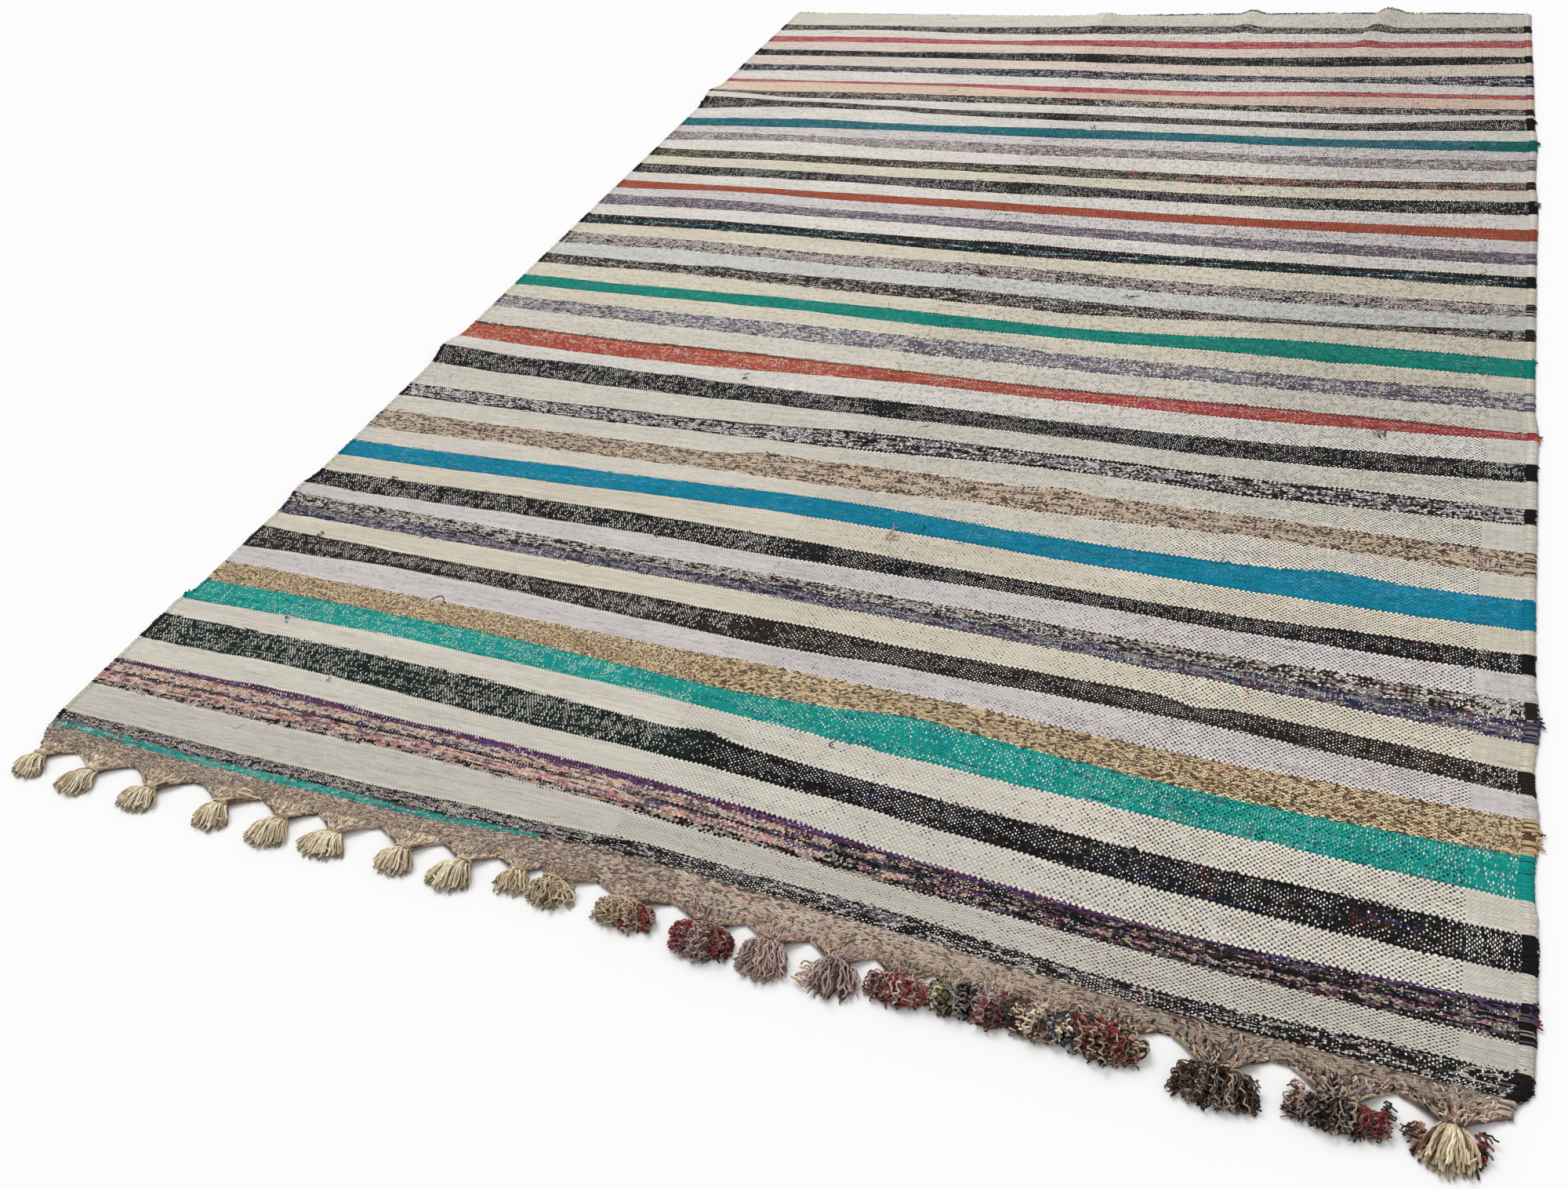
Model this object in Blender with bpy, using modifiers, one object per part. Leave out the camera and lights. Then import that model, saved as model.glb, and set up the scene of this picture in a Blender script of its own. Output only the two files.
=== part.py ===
"""Striped flat-woven rag rug, lying on a floor, with a row of 22 knotted tassels at its near end.

Metres, +Z up. X runs across the rug, from selvedge to selvedge, and +Y runs away from the tassels.
Everything is laid out in the weaver's own measures: x from the left selvedge, and y from the weave's near
edge. At the end it is all moved, so that the origin is the middle of the whole rug's box, on the floor.

The cloth is one sheet: a coarse grid, made finer where a fold or a lifted edge needs it, eased onto the
rug's uneven outline, raised along its folds and given its thickness. A tassel is one solid: a flat fan of
warp ends that is gathered into a neck and a knot, and falls apart into locks that lie on the floor.
"""
from collections import namedtuple
from math import cos, hypot, pi, sqrt
import random

import bmesh
import bpy
from mathutils import Vector

# The cloth's driving sizes.
RUG_WIDTH = 1.85
RUG_LENGTH = 2.93
CLOTH_THICKNESS = 0.0035

# The grid: cells across and along, and how many times finer a cell is cut where the cloth is shaped.
CELLS_ACROSS = 16
CELLS_ALONG = 26
EDGE_CUTS = 3
FOLD_CUTS = 6
LIFT_CUTS = 3
OUTLINE_REACH = 0.12        # how far in from an edge its unevenness is felt

# The selvedges and the ends: how far each stands out past the plain rectangle, at places along it.
LEFT_SELVEDGE = (           # (y, out)
    (0.000, -0.004), (0.030, 0.011), (0.070, 0.015), (0.300, 0.015), (0.345, 0.003), (0.560, 0.002),
    (0.610, 0.004), (0.660, 0.002), (1.020, 0.003), (1.065, 0.006), (1.120, 0.002), (1.700, 0.003),
    (2.260, 0.002), (2.320, 0.006), (2.380, 0.002), (2.930, -0.002))
RIGHT_SELVEDGE = (          # (y, out)
    (0.000, -0.014), (0.030, 0.003), (0.120, 0.006), (0.200, 0.007), (0.280, 0.003), (0.360, 0.008),
    (0.440, 0.003), (0.520, 0.009), (0.600, 0.004), (1.050, 0.007), (1.125, 0.009), (1.200, 0.004),
    (1.620, 0.006), (1.900, 0.009), (2.000, 0.005), (2.175, 0.008), (2.300, 0.003), (2.930, -0.004))
NEAR_END = (                # (x, out)
    (0.00, 0.002), (0.20, 0.004), (0.45, 0.003), (0.70, 0.000), (0.85, 0.000), (1.00, 0.004), (1.20, 0.007),
    (1.50, 0.009), (1.75, 0.010), (1.85, 0.008))
FAR_END = (                 # (x, out)
    (0.00, -0.014), (0.10, -0.022), (0.35, -0.029), (0.70, -0.036), (0.95, -0.028), (1.20, -0.018),
    (1.45, -0.012), (1.65, -0.010), (1.85, -0.014))

# Folds that rise from the far end and die out towards the middle, with a half width on each side.
Fold = namedtuple("Fold", "far_x near_x near_y height left right")
FOLDS = (
    Fold(1.532, 1.468, 2.58, 0.013, 0.022, 0.060),
    Fold(1.222, 1.212, 2.66, 0.009, 0.034, 0.040),
    Fold(0.862, 0.858, 2.72, 0.006, 0.045, 0.045))

# Places where a heavy stripe holds the left selvedge off the floor.
Lift = namedtuple("Lift", "y height half_length reach")
LIFTS = (
    Lift(0.600, 0.006, 0.055, 0.13),
    Lift(1.065, 0.010, 0.070, 0.17),
    Lift(2.310, 0.011, 0.085, 0.24))

# Tassels, left to right: the neck's x and depth, the skirt's sides, reach and height, its locks in a layer.
Tassel = namedtuple("Tassel", "x neck left right reach loft columns colour")
CREAM = (0.66, 0.57, 0.44)
OLIVE = (0.36, 0.28, 0.17)
MAUVE = (0.34, 0.22, 0.22)
BRICK = (0.30, 0.09, 0.07)
SLATE = (0.14, 0.13, 0.13)
TASSELS = (
    Tassel(0.024, 0.018, -0.002, 0.053, 0.066, 0.013, 6, CREAM),
    Tassel(0.122, 0.021, 0.082, 0.143, 0.073, 0.013, 6, CREAM),
    Tassel(0.228, 0.025, 0.191, 0.254, 0.071, 0.014, 6, CREAM),
    Tassel(0.341, 0.021, 0.315, 0.371, 0.071, 0.014, 6, CREAM),
    Tassel(0.438, 0.020, 0.402, 0.466, 0.075, 0.015, 6, CREAM),
    Tassel(0.520, 0.021, 0.480, 0.552, 0.068, 0.013, 7, CREAM),
    Tassel(0.622, 0.021, 0.594, 0.651, 0.065, 0.015, 6, CREAM),
    Tassel(0.707, 0.018, 0.669, 0.731, 0.068, 0.015, 6, CREAM),
    Tassel(0.779, 0.012, 0.757, 0.800, 0.051, 0.014, 5, CREAM),
    Tassel(0.827, 0.012, 0.804, 0.862, 0.055, 0.016, 6, OLIVE),
    Tassel(0.928, 0.014, 0.894, 0.967, 0.056, 0.019, 7, MAUVE),
    Tassel(1.029, 0.017, 0.993, 1.065, 0.069, 0.021, 7, BRICK),
    Tassel(1.107, 0.016, 1.074, 1.135, 0.074, 0.021, 6, MAUVE),
    Tassel(1.182, 0.018, 1.158, 1.216, 0.073, 0.021, 6, MAUVE),
    Tassel(1.258, 0.018, 1.220, 1.289, 0.060, 0.022, 6, BRICK),
    Tassel(1.313, 0.016, 1.292, 1.332, 0.055, 0.021, 5, SLATE),
    Tassel(1.355, 0.016, 1.335, 1.375, 0.057, 0.021, 5, SLATE),
    Tassel(1.404, 0.016, 1.378, 1.437, 0.058, 0.021, 6, OLIVE),
    Tassel(1.470, 0.018, 1.441, 1.504, 0.062, 0.023, 6, BRICK),
    Tassel(1.577, 0.026, 1.538, 1.620, 0.081, 0.024, 7, OLIVE),
    Tassel(1.688, 0.026, 1.641, 1.733, 0.070, 0.023, 7, SLATE),
    Tassel(1.786, 0.021, 1.746, 1.811, 0.077, 0.016, 6, CREAM))

# A tassel's fan, neck and knot: sections from the weave outwards.
# share is how far along the neck's depth and past how far beyond it, spread is the part of the fan's width,
# then come width, height and roundness; a neck and a knot have their own width, so their spread is none.
Section = namedtuple("Section", "share past spread width height roundness")
HEAD = (
    Section(0.00, 0.000, 1.00, 0.000, 0.0028, 0.0),
    Section(0.30, 0.000, 0.66, 0.000, 0.0036, 0.3),
    Section(0.68, 0.000, 0.32, 0.006, 0.0064, 0.7),
    Section(1.00, 0.000, 0.00, 0.015, 0.0100, 1.0),
    Section(1.00, 0.006, 0.00, 0.024, 0.0140, 0.8))
SEAM = 0.0004               # a tassel's fan stays this far from the weave
FAN_GAP = 0.0020            # between two tassels' fans where they leave the weave
FAN_MOST = 0.094            # the widest fan
SELVEDGE_MARGIN = 0.006     # the outermost fans stay this far inside the rug's corners

# The locks: two layers, the lower one on the floor. A lock's width is a part of its share of the skirt.
LOCK_ROWS = 2
LAYER_GAP = 0.0012
LOCK_FILL = (0.66, 0.80)    # the least and the most of its share that a lock fills
LOCK_SWAY = 0.06            # how far a tip strays sideways, as a part of its share
LOCK_TRIM = (0.92, 1.00)    # uneven lengths
UPPER_REACH = 0.86          # the upper layer's length against the lower one's
SIDE_DRAW = 0.26            # how much shorter the locks at a skirt's sides are
Ring = namedtuple("Ring", "along spread height")    # height is a part of the loft
LOCK_RINGS = (Ring(0.44, 0.68, 1.00), Ring(1.00, 1.00, 0.85))

CLOTH_COLOUR = (0.46, 0.43, 0.39)
YARN_ROUGHNESS = 0.92
SEED = 22


def smoothstep(t):
    """0 before 0, 1 after 1, and a soft S between."""
    t = min(max(t, 0.0), 1.0)
    return t * t * (3.0 - 2.0 * t)


def along(table, s):
    """Read a (place, value) table at s, eased softly from each row to the next."""
    if s <= table[0][0]:
        return table[0][1]
    for (s0, v0), (s1, v1) in zip(table, table[1:]):
        if s <= s1:
            return v0 + (v1 - v0) * smoothstep((s - s0) / (s1 - s0))
    return table[-1][1]


def near_edge(x):
    """y of the weave's near edge at x."""
    return -along(NEAR_END, x)


def on_outline(x, y):
    """Ease a point of the plain rectangle onto the rug's uneven outline."""
    left = along(LEFT_SELVEDGE, y) * (1.0 - smoothstep(x / OUTLINE_REACH))
    right = along(RIGHT_SELVEDGE, y) * (1.0 - smoothstep((RUG_WIDTH - x) / OUTLINE_REACH))
    near = along(NEAR_END, x) * (1.0 - smoothstep(y / OUTLINE_REACH))
    far = along(FAR_END, x) * (1.0 - smoothstep((RUG_LENGTH - y) / OUTLINE_REACH))
    return x - left + right, y - near + far


def swell(distance, half_width):
    """A soft crest: 1 on its line and 0 from half_width on."""
    if abs(distance) >= half_width:
        return 0.0
    return 0.5 + 0.5 * cos(pi * distance / half_width)


def fold_height(fold, x, y):
    """How far one fold raises the cloth at (x, y)."""
    run = (y - fold.near_y) / (RUG_LENGTH - fold.near_y)
    crest_x = fold.near_x + (fold.far_x - fold.near_x) * run
    half_width = fold.left if x < crest_x else fold.right
    return fold.height * smoothstep(run) * swell(x - crest_x, half_width)


def lift_height(lift, x, y):
    """How far one lifted stretch of selvedge raises the cloth at (x, y)."""
    return lift.height * swell(y - lift.y, lift.half_length) * (1.0 - smoothstep(x / lift.reach))


def height_at(x, y):
    """Height of the cloth's underside over the floor."""
    folds = [fold_height(fold, x, y) for fold in FOLDS]
    lifts = [lift_height(lift, x, y) for lift in LIFTS]
    return max(folds + lifts)


def cells_in(bm, x0, x1, y0, y1):
    """The edges of the faces that reach into a box of the plain rectangle."""
    edges = set()
    for face in bm.faces:
        across = [vert.co.x for vert in face.verts]
        down = [vert.co.y for vert in face.verts]
        if min(across) < x1 and max(across) > x0 and min(down) < y1 and max(down) > y0:
            edges.update(face.edges)
    return list(edges)


def refine_folds(bm):
    """Cut the cells under each fold and each lifted stretch of selvedge finer."""
    for fold in FOLDS:
        box = (min(fold.near_x, fold.far_x) - fold.left, max(fold.near_x, fold.far_x) + fold.right,
               fold.near_y, RUG_LENGTH)
        bmesh.ops.subdivide_edges(bm, edges=cells_in(bm, *box), cuts=FOLD_CUTS, use_grid_fill=True)
    for lift in LIFTS:
        box = (0.0, lift.reach, lift.y - lift.half_length, lift.y + lift.half_length)
        bmesh.ops.subdivide_edges(bm, edges=cells_in(bm, *box), cuts=LIFT_CUTS, use_grid_fill=True)


def refine_rim(bm):
    """Cut the long edges on the rug's rim, so that it can follow the uneven outline."""
    cell = max(RUG_WIDTH / CELLS_ACROSS, RUG_LENGTH / CELLS_ALONG)
    rim = [edge for edge in bm.edges if edge.is_boundary and edge.calc_length() > cell / 2.0]
    bmesh.ops.subdivide_edges(bm, edges=rim, cuts=EDGE_CUTS)


def make_cloth(collection):
    """The woven panel, flat on the floor but for its folds."""
    bm = bmesh.new()
    bmesh.ops.create_grid(bm, x_segments=CELLS_ACROSS, y_segments=CELLS_ALONG, size=0.5)
    for vert in bm.verts:
        vert.co.x = (vert.co.x + 0.5) * RUG_WIDTH
        vert.co.y = (vert.co.y + 0.5) * RUG_LENGTH
    refine_folds(bm)
    refine_rim(bm)
    for vert in bm.verts:
        height = height_at(vert.co.x, vert.co.y)
        x, y = on_outline(vert.co.x, vert.co.y)
        vert.co = (x, y, height)
    bmesh.ops.recalc_face_normals(bm, faces=bm.faces)
    if sum(face.normal.z for face in bm.faces) < 0.0:
        bmesh.ops.reverse_faces(bm, faces=bm.faces)
    cloth = add_object("rug_cloth", bm, collection, CLOTH_COLOUR)
    solidify = cloth.modifiers.new("thickness", "SOLIDIFY")
    solidify.thickness = CLOTH_THICKNESS
    solidify.offset = 1.0
    solidify.use_even_offset = True


def fan_span(index):
    """The x range of a tassel's fan at the weave: to the middle of the gap to each neighbour."""
    here = TASSELS[index].x
    before = TASSELS[index - 1].x if index > 0 else None
    after = TASSELS[index + 1].x if index + 1 < len(TASSELS) else None
    low = (before + here) / 2.0 if before else -LEFT_SELVEDGE[0][1] + SELVEDGE_MARGIN
    high = (here + after) / 2.0 if after else RUG_WIDTH + RIGHT_SELVEDGE[0][1] - SELVEDGE_MARGIN
    low = max(low, here - FAN_MOST / 2.0) + FAN_GAP / 2.0
    high = min(high, here + FAN_MOST / 2.0) - FAN_GAP / 2.0
    return low, high


def head_point(tassel, span, section, u, v):
    """The place of one corner of a section; u runs across it and v up it, both from -1 to 1."""
    round_u = u * sqrt(1.0 - v * v / 2.0)
    round_v = v * sqrt(1.0 - u * u / 2.0)
    u += (round_u - u) * section.roundness
    v += (round_v - v) * section.roundness
    low = tassel.x + (span[0] - tassel.x) * section.spread - section.width / 2.0
    high = tassel.x + (span[1] - tassel.x) * section.spread + section.width / 2.0
    x = low + (high - low) * (u + 1.0) / 2.0
    edge = near_edge(x) * section.spread + near_edge(tassel.x) * (1.0 - section.spread)
    y = edge - SEAM - tassel.neck * section.share - section.past
    return Vector((x, y, section.height * (v + 1.0) / 2.0))


def draw_lock(bm, face, tassel, column, row, dice):
    """Draw one cell of the knot's end out into a lock that comes down to lie level."""
    base = face.calc_center_median()
    corners = [(vert.co.x > base.x, vert.co.z > base.z) for vert in face.verts]
    knot_width = HEAD[-1].width
    skirt_width = tassel.right - tassel.left
    side = 2.0 * (column + 0.5) / tassel.columns - 1.0
    tip_x = (tassel.left + tassel.right) / 2.0 + side * skirt_width / 2.0
    length = (tassel.reach + base.y) * (1.0 - SIDE_DRAW * side * side)
    length *= UPPER_REACH if row else 1.0
    fill = dice.uniform(*LOCK_FILL)
    trim = dice.uniform(*LOCK_TRIM)
    sway = dice.uniform(-LOCK_SWAY, LOCK_SWAY)
    run = hypot(tip_x - base.x, length)
    across_x, across_y = length / run, (tip_x - base.x) / run
    for ring in LOCK_RINGS:
        share = (knot_width + (skirt_width - knot_width) * ring.spread) / tassel.columns
        loose = (ring.along - LOCK_RINGS[0].along) / (1.0 - LOCK_RINGS[0].along)
        x = base.x + (tip_x - base.x) * ring.spread + share * sway * loose
        y = base.y - length * ring.along * (1.0 + (trim - 1.0) * loose)
        thick = (tassel.loft - LAYER_GAP) / LOCK_ROWS * ring.height
        low = row * (thick + LAYER_GAP)
        face = bmesh.ops.extrude_discrete_faces(bm, faces=[face])["faces"][0]
        for vert, (is_right, is_top) in zip(face.verts, corners):
            half = share * fill * across_x * (0.5 if is_right else -0.5)
            vert.co = (x + across_x * half, y + across_y * half, low + (thick if is_top else 0.0))


def make_tassel(index, collection, dice):
    """One tassel: fan, neck and knot drawn out section by section, then its locks."""
    tassel = TASSELS[index]
    span = fan_span(index)
    bm = bmesh.new()
    bmesh.ops.create_grid(bm, x_segments=tassel.columns, y_segments=LOCK_ROWS, size=1.0)
    places = {vert: (vert.co.x, vert.co.y) for vert in bm.verts}
    end = list(bm.faces)
    for vert, (u, v) in places.items():
        vert.co = head_point(tassel, span, HEAD[0], u, v)
    for section in HEAD[1:]:
        drawn = bmesh.ops.extrude_face_region(bm, geom=end)["geom"]
        cells = {tuple(vert.co): cell for vert, cell in places.items()}
        places = {item: cells[tuple(item.co)] for item in drawn if isinstance(item, bmesh.types.BMVert)}
        if section is not HEAD[1]:
            bmesh.ops.delete(bm, geom=end, context="FACES")
        end = [item for item in drawn if isinstance(item, bmesh.types.BMFace)]
        for vert, (u, v) in places.items():
            vert.co = head_point(tassel, span, section, u, v)
    for face in end:
        middle_u = sum(places[vert][0] for vert in face.verts) / len(face.verts)
        middle_v = sum(places[vert][1] for vert in face.verts) / len(face.verts)
        column = int((middle_u + 1.0) / 2.0 * tassel.columns)
        row = int((middle_v + 1.0) / 2.0 * LOCK_ROWS)
        draw_lock(bm, face, tassel, column, row, dice)
    bmesh.ops.recalc_face_normals(bm, faces=bm.faces)
    add_object(f"tassel_{index + 1:02d}", bm, collection, tassel.colour)


def add_object(name, bm, collection, colour):
    """Turn a bmesh into a named object with its own yarn material."""
    mesh = bpy.data.meshes.new(name)
    bm.to_mesh(mesh)
    bm.free()
    material = bpy.data.materials.new(name + "_yarn")
    material.use_nodes = True
    shader = material.node_tree.nodes["Principled BSDF"]
    shader.inputs["Base Color"].default_value = (*colour, 1.0)
    shader.inputs["Roughness"].default_value = YARN_ROUGHNESS
    shader.inputs["Metallic"].default_value = 0.0
    mesh.materials.append(material)
    item = bpy.data.objects.new(name, mesh)
    collection.objects.link(item)
    return item


def centre(collection):
    """Move every object so that the middle of the whole rug's box is over the origin."""
    bpy.context.view_layer.update()
    corners = [item.matrix_world @ Vector(corner)
               for item in collection.objects
               for corner in item.bound_box]
    middle_x = (min(c.x for c in corners) + max(c.x for c in corners)) / 2.0
    middle_y = (min(c.y for c in corners) + max(c.y for c in corners)) / 2.0
    for item in collection.objects:
        item.location = (-middle_x, -middle_y, 0.0)


def main():
    for item in list(bpy.data.objects):
        bpy.data.objects.remove(item, do_unlink=True)
    collection = bpy.data.collections.new("rag_rug")
    bpy.context.scene.collection.children.link(collection)
    dice = random.Random(SEED)
    make_cloth(collection)
    for index in range(len(TASSELS)):
        make_tassel(index, collection, dice)
    centre(collection)


main()
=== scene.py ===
"""The looks of the striped rag rug: its cloth, selvedges, tassels and loose ends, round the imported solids.

Metres, +Z up. Places are laid out in the weaver's own measures, x from the left selvedge and y from the
weave's near edge, as in the part's source, and the whole is moved to the frame's own origin by SHIFT.
"""
from collections import namedtuple
from math import atan2, cos, pi, radians, sin
import random

import bmesh
import bpy
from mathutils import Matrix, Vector, noise


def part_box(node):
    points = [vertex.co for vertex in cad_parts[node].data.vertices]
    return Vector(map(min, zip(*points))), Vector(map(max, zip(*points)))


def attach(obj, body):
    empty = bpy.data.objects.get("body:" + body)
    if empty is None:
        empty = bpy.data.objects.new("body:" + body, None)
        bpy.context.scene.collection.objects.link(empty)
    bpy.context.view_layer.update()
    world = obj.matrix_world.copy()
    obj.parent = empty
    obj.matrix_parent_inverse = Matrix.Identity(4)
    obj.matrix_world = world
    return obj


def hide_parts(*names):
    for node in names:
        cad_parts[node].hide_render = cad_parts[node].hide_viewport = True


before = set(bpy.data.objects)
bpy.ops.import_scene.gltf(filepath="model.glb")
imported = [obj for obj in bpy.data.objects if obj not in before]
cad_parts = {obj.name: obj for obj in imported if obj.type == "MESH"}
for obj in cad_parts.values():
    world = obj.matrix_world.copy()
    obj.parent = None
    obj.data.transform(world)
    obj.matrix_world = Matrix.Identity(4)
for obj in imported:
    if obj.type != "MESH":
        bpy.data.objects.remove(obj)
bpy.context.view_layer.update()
noise.seed_set(1)           # without it every run would start noise_vector from the clock

# ------------------------------------------------ the rug's sizes, as the part's source has them
RUG_WIDTH = 1.85
RUG_LENGTH = 2.93
CLOTH_THICKNESS = 0.0035
OUTLINE_REACH = 0.12        # how far in from its edge the cloth follows the uneven outline
LEFT_SELVEDGE = (           # (y, out)
    (0.000, -0.004), (0.030, 0.011), (0.070, 0.015), (0.300, 0.015), (0.345, 0.003), (0.560, 0.002),
    (0.610, 0.004), (0.660, 0.002), (1.020, 0.003), (1.065, 0.006), (1.120, 0.002), (1.700, 0.003),
    (2.260, 0.002), (2.320, 0.006), (2.380, 0.002), (2.930, -0.002))
RIGHT_SELVEDGE = (          # (y, out)
    (0.000, -0.014), (0.030, 0.003), (0.120, 0.006), (0.200, 0.007), (0.280, 0.003), (0.360, 0.008),
    (0.440, 0.003), (0.520, 0.009), (0.600, 0.004), (1.050, 0.007), (1.125, 0.009), (1.200, 0.004),
    (1.620, 0.006), (1.900, 0.009), (2.000, 0.005), (2.175, 0.008), (2.300, 0.003), (2.930, -0.004))
NEAR_END = (                # (x, out)
    (0.00, 0.002), (0.20, 0.004), (0.45, 0.003), (0.70, 0.000), (0.85, 0.000), (1.00, 0.004), (1.20, 0.007),
    (1.50, 0.009), (1.75, 0.010), (1.85, 0.008))
FAR_END = (                 # (x, out)
    (0.00, -0.014), (0.10, -0.022), (0.35, -0.029), (0.70, -0.036), (0.95, -0.028), (1.20, -0.018),
    (1.45, -0.012), (1.65, -0.010), (1.85, -0.014))
Fold = namedtuple("Fold", "far_x near_x near_y height left right")
FOLDS = (
    Fold(1.532, 1.468, 2.58, 0.013, 0.022, 0.060),
    Fold(1.222, 1.212, 2.66, 0.009, 0.034, 0.040),
    Fold(0.862, 0.858, 2.72, 0.006, 0.045, 0.045))
Lift = namedtuple("Lift", "y height half_length reach")
LIFTS = (
    Lift(0.600, 0.006, 0.055, 0.13),
    Lift(1.065, 0.010, 0.070, 0.17),
    Lift(2.310, 0.011, 0.085, 0.24))

# The weaver's origin in the frame: the cloth's box starts as far out as its left selvedge and its near end
# reach.
CLOTH_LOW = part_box("rug_cloth")[0]
SHIFT = Vector((
    CLOTH_LOW.x + max(out for _, out in LEFT_SELVEDGE),
    CLOTH_LOW.y + max(out for _, out in NEAR_END),
    0.0))

# ------------------------------------------------ yarns and how they are blended
MILK = (0.59, 0.55, 0.48)
CHALK = (0.62, 0.59, 0.54)
ECRU = (0.59, 0.54, 0.44)
OAT = (0.57, 0.54, 0.47)
GREYED = (0.50, 0.47, 0.41)
LILAC_WHITE = (0.56, 0.52, 0.51)
BLUE_WHITE = (0.53, 0.53, 0.50)
PEACH = (0.62, 0.47, 0.38)
BISCUIT = (0.61, 0.52, 0.45)
BLACK = (0.010, 0.009, 0.009)
GREEN_BLACK = (0.010, 0.018, 0.014)
BROWN_BLACK = (0.022, 0.016, 0.013)
NAVY = (0.020, 0.020, 0.060)
TEAL = (0.008, 0.270, 0.230)
SEA_TEAL = (0.11, 0.30, 0.27)
TURQUOISE = (0.004, 0.190, 0.300)
EMERALD = (0.005, 0.200, 0.155)
PETROL = (0.012, 0.115, 0.145)
SEA_GREEN = (0.004, 0.110, 0.095)
BRICK = (0.37, 0.070, 0.055)
RUST = (0.29, 0.065, 0.035)
ORANGE = (0.55, 0.22, 0.12)
SALMON = (0.46, 0.24, 0.20)
WINE = (0.14, 0.035, 0.080)
VIOLET = (0.085, 0.035, 0.130)
PURPLE = (0.125, 0.050, 0.165)
CRIMSON = (0.36, 0.045, 0.060)
DUSTY_RED = (0.42, 0.130, 0.120)
PLUM = (0.100, 0.075, 0.105)
MAUVE = (0.24, 0.185, 0.190)
DOVE_GREY = (0.42, 0.38, 0.385)
GREY = (0.22, 0.21, 0.20)
SLATE = (0.13, 0.14, 0.19)
TAN = (0.46, 0.33, 0.18)
STRAW = (0.60, 0.47, 0.29)
PINKISH = (0.52, 0.41, 0.33)
TAUPE = (0.33, 0.27, 0.24)
FAWN_GREY = (0.38, 0.30, 0.24)
CINDER = (0.15, 0.105, 0.085)
BROWN = (0.10, 0.055, 0.032)
UMBER_BROWN = (0.075, 0.045, 0.030)
FAWN_BROWN = (0.20, 0.135, 0.100)
RUSSET = (0.36, 0.21, 0.15)
HAY = (0.50, 0.40, 0.28)
OLIVE = (0.18, 0.15, 0.07)

# A blend: three yarns, the shares of the first two, how many warps a yarn runs over before the next one
# takes its place, how far single stitches differ in hue, and how much of the warp shows between them.
Blend = namedtuple("Blend", "first second third first_share second_share dash fleck shows")


def plain(yarn, other=None, fleck=0.10, shows=0.6):
    """A blend that is nearly all one yarn."""
    return Blend(yarn, yarn, other or yarn, 0.50, 0.44, 9.0, fleck, shows)


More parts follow.
